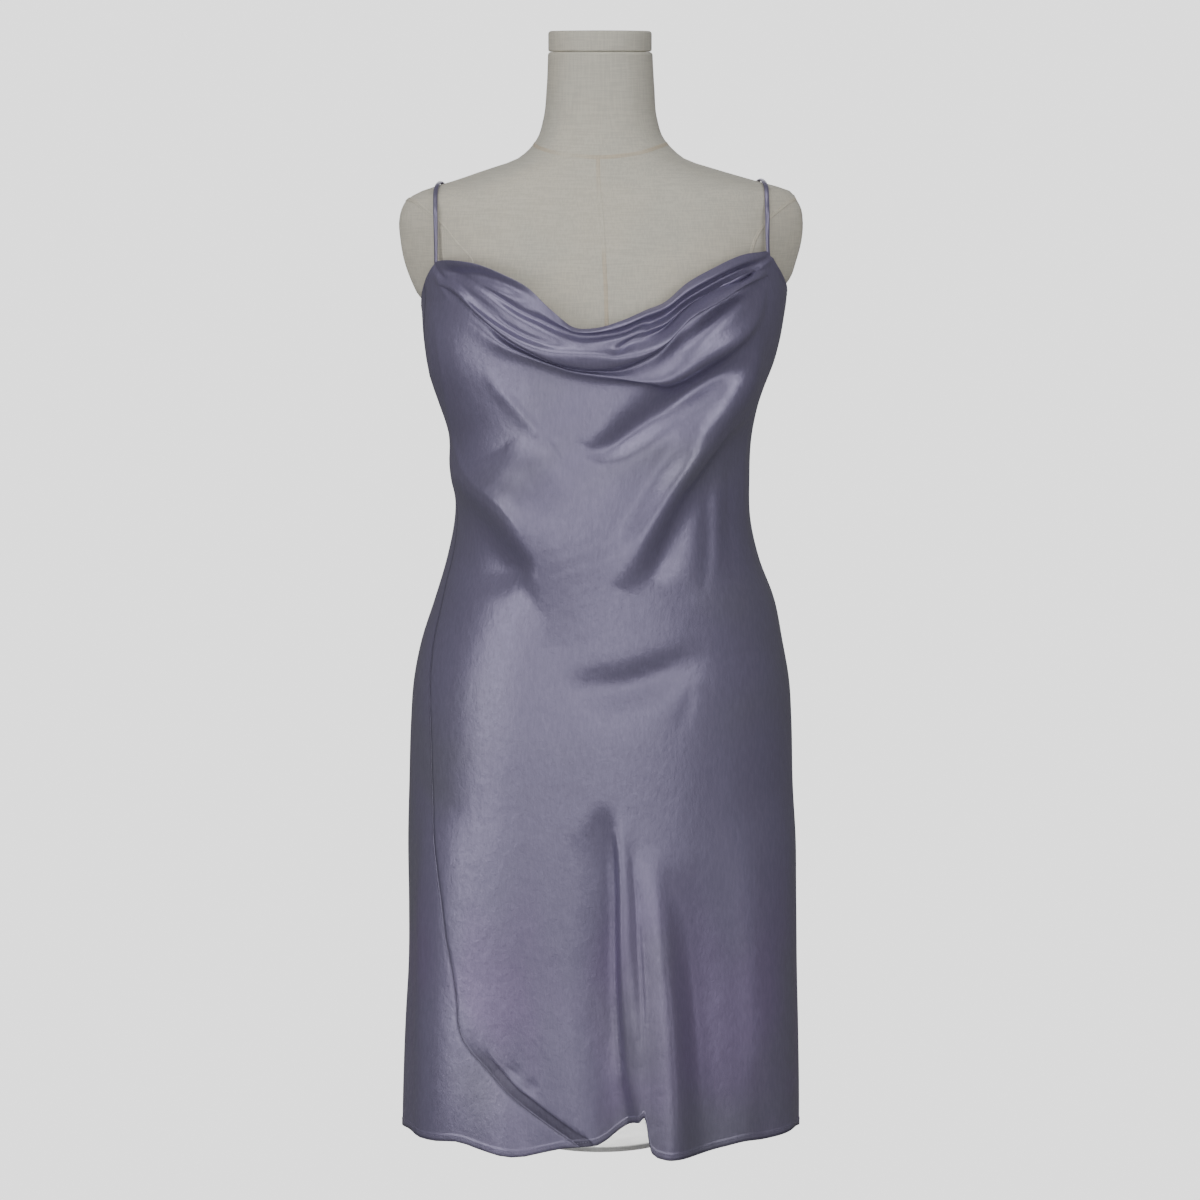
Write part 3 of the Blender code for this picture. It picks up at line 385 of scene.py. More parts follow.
# Creases of the back, which pull down from the armholes and across the waist
BACK_CREASES = {
    "pull from the left armhole": (
        (-152, 778, 0, 7, 8), (-128, 742, 2.0, 8, 11), (-100, 712, 2.6, 8, 13), (-70, 690, 1.6, 8, 11),
        (-40, 676, 0, 7, 8)),
    "pull from the right armhole": (
        (148, 772, 0, 8, 7), (124, 730, 2.2, 11, 8), (96, 690, 2.8, 12, 8), (64, 656, 2.2, 11, 8),
        (36, 632, 0, 8, 7)),
    "upper waist crease": (
        (-106, 646, 0, 7, 8), (-74, 630, 1.8, 8, 9), (-30, 622, 2.2, 8, 10), (14, 630, 1.4, 8, 9),
        (42, 642, 0, 7, 8)),
    "lower waist crease": (
        (-44, 592, 0, 7, 8), (0, 580, 2.0, 8, 10), (46, 584, 2.4, 8, 10), (90, 600, 1.4, 8, 9),
        (118, 616, 0, 7, 8)),
    "right hip pull": (
        (124, 546, 0, 8, 9), (114, 500, 2.0, 9, 12), (98, 458, 1.8, 9, 12), (80, 424, 0, 8, 9)),
    "left hip pull": (
        (-126, 536, 0, 9, 8), (-114, 488, 2.2, 12, 9), (-94, 440, 1.6, 12, 9), (-80, 408, 0, 9, 8)),
    "edge of the right flute": (
        (38, 310, 0, 8, 10), (34, 230, 2.0, 8, 12), (28, 140, 3.0, 8, 12), (24, 50, 2.4, 8, 12),
        (24, 0, 2, 8, 12)),
    "edge of the left flute": (
        (-56, 286, 0, 10, 8), (-52, 200, 2.2, 12, 8), (-44, 110, 3.0, 12, 8), (-42, 30, 2.4, 12, 8),
        (-42, 0, 2, 12, 8)),
}

# Columns of each fine panel as stations, and how many lie between them
FRONT_COLUMNS = (
    (-75, -74, -72, -48, -22, 2, 6, 17, 24, 52, 88, 90),
    (5, 4, 20, 30, 28, 5, 34, 10, 30, 33, 5))
BACK_COLUMNS = ((90, 92, 135, 225, 262, 284, 285), (4, 24, 56, 26, 24, 4))
FRONT_PIVOT = 2.0          # columns left of here close up where the seam crosses the front
BACK_PIVOT = -98.0         # columns past here spread out there

# Rows of the fine panels: first level, last level and step
FRONT_ROW_RUNS = ((0, 0.1, 0.025), (0.1, 0.2, 0.05), (0.25, 10, 0.125), (10, 16.6, 0.11), (16.6, 31, 0.3),
                  (31, 33.7, 0.15), (33.7, 33.86, 0.02), (33.86, 34, 0.028))
BACK_ROW_RUNS = ((0, 0.2, 0.05), (0.25, 4, 0.25), (4, 10, 0.5), (10, 16.6, 0.2), (16.6, 31, 0.3),
                 (31, 33.7, 0.2), (33.7, 33.86, 0.02), (33.86, 34, 0.035))

FRONT_FADE = (78, 92)      # degrees over which the front's folds die away
BACK_FADE = (88, 102)      # and the back's folds begin
RING_PASSES = 6
SEAM_PASSES = 30
PATH_STEPS = 28            # points along a fold's smoothed path
ROWS_APART = 1e-3          # rows closer than this are one
WRAP_PAST = 100.0          # degrees past which an angle is counted from the left side instead

# Left strap, from inside the front strap point over the shoulder to the back's top edge
STRAP_PATH = (
    (-158.5, -50.5, 865), (-158.5, -50.4, 875), (-158.5, -49.8, 892), (-158.7, -49, 910),
    (-159, -46, 925), (-159.2, -41.5, 935), (-159.2, -30, 943), (-158, -16, 947.5), (-156, 0, 949.5),
    (-154, 18, 948.5), (-151, 35, 942.5), (-148, 47.5, 931), (-144, 56, 913), (-139, 63, 893),
    (-134, 68, 873), (-128, 71, 854), (-122, 72, 838), (-118, 72.2, 824), (-116, 72.1, 810),
    (-115.5, 71.9, 796),
)
STRAP_STEPS = 150
STRAP_CLEARANCE = 1.1      # between a strap's middle and the form, which its edges come closer to
STRAP_RESTS = (922, 940)   # heights over which a strap comes to lie on the form
STRAP_TURNS = (880, 920)   # heights over which it turns square to the body at its ends
BODY_HALVES = (180, 105)   # half width and depth of the body there
STRAP_SIDES = 14
STRAP_SMOOTHING = (1, 2, 3, 2, 1)  # weights of neighbours along the strap
SHOULDER_CORE = 860.0      # height inside the shoulder that a strap's flat side faces
RIGHT_STRAP_SHIFT = 0.5    # the right strap sits this much further out than the left one,
RIGHT_STRAP_LEAN = 4.0     # its front end this much further again
RIGHT_STRAP_LIFT = 9.0     # and this much higher
RIGHT_STRAP_EASE = 3       # how fast both fade towards its back end
LIFTED_BELOW = 890.0
SHOULDER_HEIGHTS = (790, 960)      # the part of the form that the straps can touch
SHOULDER_STEP = 1.5
SHOULDER_TURNS = 240
LAY_PASSES = 3

# Seams of the form's cover: each row of a path is an angle and a height
FORM_SEAMS = {
    "neck": ((-180, 976), (-120, 984), (-90, 986), (-60.5, 982.5), (-24, 976), (0, 973.5), (22, 976),
             (56, 983.5), (90, 986), (120, 984), (180, 976)),
    "centre front": ((-2, 976), (-0.5, 943), (0.5, 910), (1, 877), (2, 818), (2, 760), (1, 640), (0, 480)),
    "centre back": ((180, 976), (180, 920), (180, 860), (180, 760), (180, 620), (180, 480)),
    "left armhole": ((-89.5, 932.5), (-65, 927.5), (-55.5, 918), (-49.5, 908.5), (-44, 891.5), (-39, 874),
                     (-41, 852), (-52, 836), (-74, 824)),
    "left armhole behind": ((-89.5, 932.5), (-114, 927), (-124, 918), (-130, 908), (-136, 891), (-140, 874),
                            (-138, 852), (-128, 836), (-106, 824)),
    "right armhole": ((89, 934.5), (63.5, 926.5), (54, 916), (48, 899), (46, 873.5), (45, 852), (54, 836),
                      (74, 824)),
    "right armhole behind": ((89, 934.5), (114, 927), (125, 916), (131, 899), (134, 873.5), (135, 852),
                             (126, 836), (106, 824)),
    "left shaping": ((-49.5, 908.5), (-50, 894), (-50.5, 875), (-47, 840), (-42, 790), (-34, 700)),
}
# Section of such a seam: distance across it and height over the skin
FORM_SEAM_SECTION = (
    (-2.6, 0.05), (-2.2, 0.3), (-0.7, 0.42), (-0.25, 0.12), (0.25, 0.12), (0.7, 0.36), (1.3, 0.05))
FORM_SEAM_SUNK = 0.4
FORM_SEAM_STEP = 4.0
FORM_RADIUS = 150          # turns an angle round the form into a distance

# Colours as scene-linear red, green, blue and cover
SATIN = (0.227, 0.205, 0.318, 1)
SATIN_VIOLET = (0.235, 0.192, 0.325, 1)
SATIN_GREY = (0.222, 0.209, 0.29, 1)
SATIN_THREAD = (0.20, 0.185, 0.26, 1)
LINEN = (0.59, 0.565, 0.485, 1)
LINEN_WARM = (0.63, 0.59, 0.495, 1)
LINEN_SEAM = (0.58, 0.50, 0.38, 1)
PAINT = (0.72, 0.72, 0.70, 1)
PALE = (1.0, 1.0, 1.0, 1)
BLACK = (0, 0, 0, 1)
BACKDROP_GLOW = 2.0
SLUB_RISE = 0.3            # height of the satin's long threads, as a share of its pebble
CRUMPLE_RISE = 2.6         # and of its soft crumple

# Places of a colour mix's sockets
MIX_SHARE = 0
MIX_FIRST = 6
MIX_SECOND = 7
MIX_RESULT = 2

# Floor, camera and lights. Places, distances and sizes are in metres.
FLOOR_RADIUS = 30.0
FLOOR_SIDES = 64
CAMERA_PLACE = (0.0, -4.2, 1.043)
CAMERA_DOWN = 6.85
CAMERA_LENS = 128.64
CAMERA_REACH = 200
SENSOR_WIDTH = 36.0
LIGHTS = {
    # name: turn from the front, lift, distance, width, height, watts
    "low left softbox": (-50, 0, 3.0, 1.3, 1.5, 15),
    "low left front softbox": (-28, 0, 3.0, 1.3, 1.5, 6),
    "low front softbox": (-8, 0, 4.6, 2.4, 2.3, 21),
    "low right front softbox": (14, 0, 4.6, 2.4, 2.3, 21),
    "right softbox": (36, 25, 3.0, 1.3, 1.5, 19),
    "high left softbox": (-28, 50, 3.0, 2.0, 2.0, 25),
    "high front softbox": (-8, 50, 4.6, 3.4, 3.2, 23),
    "back softbox": (180, 15, 4.6, 2.4, 2.3, 45),
}
LIGHT_AIM = (0.0, 0.0, 0.60)
SURROUND_GLOW = 0.14
SMALL_LAMPS = {
    # name: place, target, size, spread in degrees, watts
    "lamp inside the skirt": ((0, 0, 0.28), (0, 0.001, 0), 0.1, 60, 0.35),
    "low right side lamp": ((1.0, -0.75, 0.08), (0.17, -0.08, 0.10), 0.3, 30, 0.010),
    "low left side lamp": ((-1.0, -0.75, 0.08), (-0.17, -0.08, 0.10), 0.3, 30, 0.018),
}


def smooth_curve(knots, values, at):
    """Cubic curve through knots and values, held at its end values past both ends."""
    knots = np.asarray(knots, float)
    values = np.asarray(values, float)
    slopes = np.gradient(values, knots)
    at = np.clip(at, knots[0], knots[-1])
    index = np.clip(np.searchsorted(knots, at) - 1, 0, len(knots) - 2)
    step = knots[index + 1] - knots[index]
    t = (at - knots[index]) / step
    start, end = values[index], values[index + 1]
    rise = (2 * t**3 - 3 * t**2 + 1) * start + (3 * t**2 - 2 * t**3) * end
    return rise + step * ((t**3 - 2 * t**2 + t) * slopes[index] + (t**3 - t**2) * slopes[index + 1])


def soft_step(low, high, value):
    """0 below low, 1 above high and a smooth ramp between."""
    t = np.clip((value - low) / (high - low), 0, 1)
    return t * t * (3 - 2 * t)


def running_length(lengths):
    """Distance from a line's start to each of its points."""
    return np.concatenate(([0], np.cumsum(lengths)))


def lengths_between(points):
    return np.linalg.norm(np.diff(points, axis=0), axis=1)


def ring_columns(rings, height, columns):
    """Values of a table of rings at a height."""
    return (smooth_curve(rings[:, 0], rings[:, column], height) for column in columns)


def ring_sizes(rings, angle, height):
    """Half width on this side of the middle, and depth on this side of the seams."""
    left, right, front, back = ring_columns(rings, height, range(1, 5))
    half_width = np.where(np.sin(angle) < 0, left, right)
    depth = np.where(np.cos(angle) > 0, front, back)
    return half_width, depth


def ring_point(rings, angle, height):
    """Point on a ring, and the level direction that leads straight out of the ring there."""
    half_width, depth = ring_sizes(rings, angle, height)
    swell = 1 + SQUARENESS * np.sin(2 * angle) ** 2
    x = half_width * np.sin(angle) * swell
    y = -depth * np.cos(angle) * swell
    out_x, out_y = np.sin(angle) / half_width, -np.cos(angle) / depth
    length = np.hypot(out_x, out_y)
    return x, y, out_x / length, out_y / length


def half_width_beside(x, height):
    """Half width of the dress's ring on the side of the middle where x lies."""
    left, right = ring_columns(DRESS_RINGS, height, (1, 2))
    return np.where(x < 0, left, right)


def angle_at(x, height):
    """Angle at which the dress's ring at this height reaches x, on the front."""
    half_width = half_width_beside(x, height)
    angle = np.zeros_like(x)
    for _ in range(RING_PASSES):
        swell = 1 + SQUARENESS * np.sin(2 * angle) ** 2
        angle = np.arcsin(np.clip(x / (half_width * swell), -1, 1))
    return angle


def hem_height(angle):
    return smooth_curve(HEM[:, 0], HEM[:, 1], np.degrees(angle))


def left_seam_angle(height):
    return -np.radians(np.interp(height, LEFT_SEAM[:, 0], LEFT_SEAM[:, 1]))


def front_level(name, angle):
    """Height and outward reach of one fold of the cowl at an angle on the front."""
    left_side, *heights, right_side = COWL_HEIGHTS[name]
    heights = np.array(heights, float)
    across = np.array(COWL_X, float)
    reach = COWL_REACH * half_width_beside(across, heights)
    stations = angle_at(np.clip(across, -reach, reach), heights)
    height = smooth_curve(stations, heights, angle)
    out = smooth_curve(stations, COWL_OUT[name], angle)
    left_edge = left_seam_angle(np.array(float(left_side)))
    to_left = np.clip((angle - left_edge) / (stations[0] - left_edge), 0, 1)
    to_right = np.clip((math.pi / 2 - angle) / (math.pi / 2 - stations[-1]), 0, 1) ** ARMHOLE_DIP
    height = np.where(angle < stations[0], left_side + (heights[0] - left_side) * to_left, height)
    height = np.where(angle > stations[-1], right_side + (heights[-1] - right_side) * to_right, height)
    return height, out


def back_level(name, angle):
    """Height of the same row on the back, where the rows run level below the top edge."""
    at_right = np.sin(angle) > 0
    side, side_top, flat = (
        np.where(at_right, COWL_HEIGHTS[level][-1], COWL_HEIGHTS[level][0])
        for level in (name, "top edge", "flat front"))
    seam = np.where(at_right, math.pi / 2, -left_seam_angle(side_top))
    to_middle = np.clip((np.abs(angle) - seam) / (math.pi - seam), 0, 1)
    dip = (BACK_TOP - side_top) * (1 - (1 - to_middle) ** BACK_TOP_RISE)
    return side + dip * (side - flat) / (side_top - flat), np.zeros_like(angle)


def level_stack(angle, on_front):
    """Heights and outward reaches of all the rows of folds at an angle, from the top down."""
    pick = front_level if on_front else back_level
    heights, outs = zip(*(pick(name, angle) for name in COWL_HEIGHTS))
    return np.array(heights), np.array(outs)


def between_levels(stack, row):
    """Read a smooth curve down the levels of a stack at fractional rows."""
    index = np.clip(np.floor(row).astype(int), 0, len(stack) - 2)
    t = row - index
    before, start, end, after = (
        np.take_along_axis(stack, np.clip(index + shift, 0, len(stack) - 1)[None], 0)[0]
        for shift in (-1, 0, 1, 2))
    bend = t * t * (3 - 2 * t)
    lead = (end - before) / 2 * (t**3 - 2 * t**2 + t) + (after - start) / 2 * (t**3 - t**2)
    return start * (1 - bend) + end * bend + lead


def dense_path(rows):
    """Smooth the rows of a fold's path, spaced by their distance."""
    rows = np.array(rows, float)
    knots = running_length(np.hypot(*np.diff(rows[:, :2], axis=0).T))
    at = np.linspace(0, knots[-1], PATH_STEPS)
    return np.array([smooth_curve(knots, rows[:, column], at) for column in range(rows.shape[1])]).T


def fold_reach(folds, x, height):
    """Sum of all the folds at points of a panel."""
    total = np.zeros_like(x)
    for rows in folds.values():
        path = dense_path(rows)
        nearest = np.full(x.shape, np.inf)
        reach = np.zeros_like(x)
        for first, second in zip(path[:-1], path[1:]):
            run_x, run_z = second[:2] - first[:2]
            length = math.hypot(run_x, run_z)
            along = np.clip(((x - first[0]) * run_x + (height - first[1]) * run_z) / length**2, 0, 1)
            off_x, off_z = x - first[0] - along * run_x, height - first[1] - along * run_z
            distance = np.hypot(off_x, off_z)
            on_left = run_x * off_z - run_z * off_x > 0
            depth, left_width, right_width = (first[2:] + along[..., None] * (second[2:] - first[2:])).T
            width = np.where(on_left.T, left_width, right_width).T
            value = depth.T * np.exp(-(distance / width) ** 2)
            closer = distance < nearest
            reach = np.where(closer, value, reach)
            nearest = np.where(closer, distance, nearest)
        total += reach
    return total


def dress_point(angle, row, on_front):
    """Outer face of the dress at an angle and a row, as x, y and z arrays."""
    heights, outs = level_stack(angle, on_front)
    cowl_row = np.clip(row, 0, COWL_LEVELS)
    height = between_levels(heights, cowl_row)
    out = between_levels(outs, cowl_row)
    down = np.clip((row - COWL_LEVELS) / BODY_LEVELS, 0, 1)
    foot = np.where(np.abs(angle) < math.pi / 2, front_level("flat front", angle)[0], heights[-1])
    height = np.where(row > COWL_LEVELS, foot + (hem_height(angle) - foot) * down, height)
    x, y, out_x, out_y = ring_point(DRESS_RINGS, angle, height)
    turned = np.degrees(np.abs(angle))
    out = out + (1 - soft_step(*FRONT_FADE, turned)) * fold_reach(FRONT_FOLDS, x, height)
    out = out + soft_step(*BACK_FADE, turned) * fold_reach(BACK_FOLDS, x, height)
    return np.stack((x + out_x * out, y + out_y * out, height), axis=-1)


def column_angles(columns):
    """Angles of a panel's columns, spread evenly between its stations."""
    stations, counts = columns
    angles = [stations[0]]
    for start, end, count in zip(stations, stations[1:], counts):
        angles += [start + (end - start) * step / count for step in range(1, count + 1)]
    return np.radians(angles)


def seam_angle_at_row(row):
    """Follow the left seam's line down to the height that this row has on it."""
    angle = np.full(np.shape(row), math.radians(FRONT_COLUMNS[0][0]))
    for _ in range(SEAM_PASSES):
        angle = (angle + left_seam_angle(seam_height(angle, row))) / 2
    return angle


def seam_height(angle, row):
    """Height of a row where the left seam crosses it at an angle."""
    side = [heights[0] for heights in COWL_HEIGHTS.values()]
    above = np.interp(row, range(COWL_LEVELS + 1), side)
    foot = side[-1]
    down = np.clip((row - COWL_LEVELS) / BODY_LEVELS, 0, 1)
    return np.where(row > COWL_LEVELS, foot + (hem_height(angle) - foot) * down, above)


def panel_angles(rows, on_front):
    """Angle of every point of a panel, which ends half a gap from both seams."""
    rows = np.array(rows, float)
    seam = seam_angle_at_row(rows)
    gap = SEAM_GAP / 2 / SKIRT_RADIUS
    if on_front:
        plan = column_angles(FRONT_COLUMNS)
        pivot = math.radians(FRONT_PIVOT)
        share = (plan[None, :] - plan[0]) / (pivot - plan[0])
        moved = (seam + gap)[:, None] + share * (pivot - seam - gap)[:, None]
        angles = np.where(plan[None, :] < pivot, moved, plan[None, :])
        angles[:, -1] -= gap
        return angles
    plan = column_angles(BACK_COLUMNS) - 2 * math.pi
    pivot = math.radians(BACK_PIVOT)
    share = (plan[None, :] - pivot) / (plan[-1] - pivot)
    moved = pivot + share * (seam - gap - pivot)[:, None]
    angles = np.where(plan[None, :] > pivot, moved, plan[None, :])
    angles[:, 0] += gap
    return np.where(angles < -math.pi, angles + 2 * math.pi, angles)


def unit(vectors):
    return vectors / np.linalg.norm(vectors, axis=-1, keepdims=True)


def grid_normals(points):
    """Outward direction at each point of a panel's grid, whose rows run down and columns to the right."""
    return unit(np.cross(np.gradient(points, axis=0), np.gradient(points, axis=1)))


def row_runs(runs):
    """Rows of a panel down to its hem, without the ones that two runs share."""
    rows = np.concatenate([np.arange(first, last, step) for first, last, step in runs] + [[LAST_LEVEL]])
    return rows[np.concatenate((np.diff(rows) > ROWS_APART, [True]))]


def seam_distance(angle, height):
    """Distance from the left seam along the cloth, positive on the front's side."""
    offset = SKIRT_RADIUS * (angle - left_seam_angle(height))
    above, below = (left_seam_angle(height + rise) for rise in (SEAM_SLOPE_REACH, -SEAM_SLOPE_REACH))
    slope = SKIRT_RADIUS * (above - below) / (2 * SEAM_SLOPE_REACH)
    return offset / np.sqrt(1 + slope**2)


def left_seam_distance(angle, height):
    """The same for both panels, with the back's far side counted from the left."""
    from_left = np.where(angle > math.radians(WRAP_PAST), angle - 2 * math.pi, angle)
    return seam_distance(from_left, height)


def across_line(distance, width):
    """1 on a line, falling to 0 on both sides of it."""
    return np.exp(-(distance / width) ** 2)


def raised_band(distance, depth):
    """1 on a turned edge, falling to 0 past its depth."""
    return 1 - soft_step(depth - BAND_SOFT, depth + BAND_SOFT, distance)


def making_relief(angle, height, on_front):
    """How far the turned edges and seams stand out of the cloth at each point."""
    hem = raised_band(height - hem_height(angle), HEM_BAND)
    top = level_stack(angle, on_front)[0][0]
    turned_top = soft_step(*EDGE_TURNS, np.degrees(np.abs(angle))) if on_front else 1.0
    edge = raised_band(top - height, ARMHOLE_BAND) * turned_top
    relief = BAND_RISE * np.maximum(hem, edge)
    for beside in (left_seam_distance(angle, height), SKIRT_RADIUS * (angle - math.pi / 2)):
        relief = relief - SEAM_GROOVE * across_line(beside, SEAM_GROOVE_WIDTH)
    if on_front:
        relief = relief - ALLOWANCE_STEP * allowance_mask(angle, height)
    return relief


def allowance_mask(angle, height):
    """1 on the pressed seam allowance beside the low stretch of the left seam."""
    beside_seam = seam_distance(angle, height)
    low = 1 - soft_step(*ALLOWANCE_FADE, height)
    begun = soft_step(*ALLOWANCE_START, beside_seam)
    ended = soft_step(ALLOWANCE - ALLOWANCE_SOFT, ALLOWANCE + ALLOWANCE_SOFT, beside_seam)
    return low * begun * (1 - ended)


def painted_shade_share(angle, height, on_front):
    """0 to 1 where painted shade darkens the cloth: in the left seam's groove, along the hem's rolled edge
    and over the dip of its pressed allowance.
    """
    line = SEAM_PAINTED_SHADE * across_line(left_seam_distance(angle, height), SEAM_PAINTED_SHADE_WIDTH)
    rolled = 1 - soft_step(*HEM_PAINTED_SHADE_FADE, height - hem_height(angle))
    line = np.maximum(line, HEM_PAINTED_SHADE * rolled)
    if not on_front:
        return line
    low = 1 - soft_step(*ALLOWANCE_PAINTED_SHADE_FADE, height)
    band = allowance_mask(angle, height) * (ALLOWANCE_PAINTED_SHADE + ALLOWANCE_PAINTED_SHADE_GAIN * low)
    return np.maximum(line, band)


def fine_panel(rows, on_front):
    """Outer face of a panel with its creases, turned edges and seams."""
    angles = panel_angles(rows, on_front)
    row_grid = np.broadcast_to(rows[:, None], angles.shape)
    points = dress_point(angles, row_grid, on_front)
    lift = making_relief(angles, points[..., 2], on_front)
    turned = np.degrees(np.abs(angles))
    near, creases = 1 - soft_step(*FRONT_FADE, turned), FRONT_CREASES
    if not on_front:
        near, creases = soft_step(*BACK_FADE, turned), BACK_CREASES
    lift = lift + near * fold_reach(creases, points[..., 0], points[..., 2])
    return points + lift[..., None] * grid_normals(points), angles


def add_object(name, points, faces, material):
    mesh = bpy.data.meshes.new(name)
    mesh.from_pydata((np.asarray(points) * MM).tolist(), [], [tuple(face) for face in faces])
    mesh.shade_smooth()
    item = bpy.data.objects.new(name, mesh)
    bpy.context.scene.collection.objects.link(item)
    mesh.materials.append(material)
    return item


def rim_indices(rows, columns):
    """Grid places round the edge: top row, right side, bottom row, left side."""
    grid = np.arange(rows * columns).reshape(rows, columns)
    return np.concatenate((grid[0], grid[1:, -1], grid[-1, -2::-1], grid[-2:0:-1, 0]))


def cloth_shell(name, outer, pressed, material):
    """Thin closed cloth behind an outer face, with a rounded rim, and painted shade stored on its points.
    """
    rows, columns = outer.shape[:2]
    inner = outer - CLOTH_THICK * grid_normals(outer)
    away = np.zeros_like(outer)
    away[0] = unit(outer[0] - outer[1])
    away[-1] = unit(outer[-1] - outer[-2])
    middle = ((outer + inner) / 2 + away * CLOTH_THICK * RIM_ROUND).reshape(-1, 3)
    rim = rim_indices(rows, columns)
    points = np.concatenate((outer.reshape(-1, 3), inner.reshape(-1, 3), middle[rim]))
    grid = np.arange(rows * columns).reshape(rows, columns)
    face = np.stack((grid[:-1, :-1], grid[1:, :-1], grid[1:, 1:], grid[:-1, 1:]), axis=-1).reshape(-1, 4)
    under = rows * columns
    after = np.roll(rim, -1)
    middle_rim = 2 * under + np.arange(len(rim))
    middle_after = np.roll(middle_rim, -1)
    faces = np.concatenate((
        face, under + face[:, ::-1],
        np.stack((rim, after, middle_after, middle_rim), axis=-1),
        np.stack((middle_rim, middle_after, under + after, under + rim), axis=-1)))
    panel = add_object(name, points, faces.tolist(), material)
    shade = np.concatenate((pressed.ravel(), pressed.ravel(), pressed.ravel()[rim]))
    # The "pressed" attribute holds painted shade: the seam's groove, the hem's rolled edge and the
    # allowance dip.
    panel.data.attributes.new("pressed", "FLOAT", "POINT").data.foreach_set("value", shade)
    return panel


def dress_piece(item, node):
    """Carry a piece with the part, and let it stand for a node where it has one."""
    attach(item, "root")
    if node:
        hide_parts(node)


def along_line(points, spacing):
    """Points, and the places they come from, spaced evenly along a line."""
    knots = running_length(lengths_between(points))
    count = max(2, int(knots[-1] / spacing))
    at = (np.arange(count) + 0.5) * knots[-1] / count
    return np.array([np.interp(at, knots, points[:, axis]) for axis in range(3)]).T, at, knots


def stitch_run(points, normals):
    """Rice-grain stitches along a line, each one a small spindle lying on the cloth."""
    places, at, knots = along_line(points, STITCH_PITCH)
    out = unit(np.array([np.interp(at, knots, normals[:, axis]) for axis in range(3)]).T)
    run = unit(np.gradient(places, axis=0))
    side = unit(np.cross(run, out))
    turn = turns(STITCH_SIDES)[:, None]
    last_ring = len(STITCH_PROFILE) - 1
    stitches = []
    for place, way, over, beside in zip(places, run, out, side):
        rings = []
        for step, share in enumerate(STITCH_PROFILE):
            along = way * STITCH_LENGTH * (step / last_ring - 0.5)
            centre = place + along + over * STITCH_RADIUS * STITCH_RISE
            round_it = np.cos(turn) * beside + np.sin(turn) * over
            rings.append(centre + STITCH_RADIUS * share * round_it)
        stitches.append(closed_rings(rings))
    return joined(stitches)


def joined(runs):
    """One list of points and faces from several."""
    points, faces = [], []
    for run_points, run_faces in runs:
        faces += [tuple(corner + len(points) for corner in face) for face in run_faces]
        points += list(run_points)
    return points, faces


def line_on_panel(outer, inset, from_top):
    """Line at a distance from a panel's top edge or hem, and the cloth's outward direction along it."""
    normals = grid_normals(outer)
    order = outer if from_top else outer[::-1]
    facing = normals if from_top else normals[::-1]
    lengths = np.linalg.norm(np.diff(order, axis=0), axis=-1)
    depth = np.array([running_length(column) for column in lengths.T]).T
    line, outward = [], []
    for column in range(order.shape[1]):
        line.append([np.interp(inset, depth[:, column], order[:, column, axis]) for axis in range(3)])
        outward.append([np.interp(inset, depth[:, column], facing[:, column, axis]) for axis in range(3)])
    return np.array(line), np.array(outward)


def stitch_rows(panels, material):
    """Stitches of the hem, the armholes and the back's top edge."""
    hem_runs, edge_runs = [], []
    for outer, angles, on_front in panels:
        hem_runs.append(stitch_run(*line_on_panel(outer, HEM_BAND - STITCH_INSET, False)))
        line, outward = line_on_panel(outer, ARMHOLE_BAND - STITCH_INSET, True)
        if not on_front:
            edge_runs.append(stitch_run(line, outward))
            continue
        top_angles = np.degrees(angles[0])
        for keep in (top_angles < -EDGE_TURNS[1], top_angles > EDGE_TURNS[1]):
            edge_runs.append(stitch_run(line[keep], outward[keep]))
    hem = add_object("hem_stitches", *joined(hem_runs), material)
    edge = add_object("edge_stitches", *joined(edge_runs), material)
    for item in (hem, edge):
        dress_piece(item, None)
    return hem, edge


def turns(count):
    """Evenly spaced angles all the way round."""
    return np.arange(count) * 2 * math.pi / count


def closed_rings(rings):
    """Points and faces of a solid through rings of points, listed from the bottom up."""
    count = len(rings[0])
    points = np.concatenate(rings)
    grid = np.arange(len(points)).reshape(len(rings), count)
    beside = np.roll(grid, -1, axis=1)
    sides = np.stack((grid[:-1], beside[:-1], beside[1:], grid[1:]), axis=-1).reshape(-1, 4)
    faces = sides.tolist()
    faces.append(list(range(count - 1, -1, -1)))
    faces.append(list(range(len(points) - count, len(points))))
    return points, faces


def form_point(angle, height):
    """Skin of the form at an angle and a height."""
    x, y, out_x, out_y = ring_point(FORM_RINGS, angle, height)
    heights, shares = zip(*ARM_CAP_PINCH)
    y = y * (1 - smooth_curve(heights, shares, height) * np.sin(angle) ** ARM_CAP_FOCUS)
    distance = np.hypot(np.abs(x) - BUST_PLACE[0], height - BUST_PLACE[1])
    rise = np.where(y < 0, BUST_RISE * np.exp(-(distance / BUST_SPREAD) ** 2), 0)
    return np.stack((x + out_x * rise, y + out_y * rise, np.broadcast_to(height, x.shape)), axis=-1)


def form_normal(angle, height):
    down = form_point(angle, height - SKIN_STEP) - form_point(angle, height + SKIN_STEP)
    across = form_point(angle + SKIN_TURN, height) - form_point(angle - SKIN_TURN, height)
    return unit(np.cross(down, across))


def make_torso(material):
    first, last = TORSO_BOTTOM + TORSO_ENDS[0], NECK_TOP - TORSO_ENDS[1]
    heights = [TORSO_BOTTOM + rise for rise in TORSO_FOOT_STEPS]
    heights += list(np.arange(first, last, TORSO_STEP))
    heights += [NECK_TOP - drop for drop in NECK_TOP_STEPS]
    rings = []
    for height in heights:
        ring = form_point(turns(TORSO_SIDES), np.float64(height))
        rounding = max(0.0, 1 - (height - TORSO_BOTTOM) / TORSO_FOOT_REACH) ** 2 * TORSO_FOOT_ROUND
        ring[:, :2] *= 1 - rounding
        rings.append(ring)
    for ring, share in zip(rings[-2:], NECK_TOP_SHARES):
        ring[:, :2] *= share
    torso = add_object("torso_cover", *closed_rings(rings), material)
    dress_piece(torso, "form_torso")


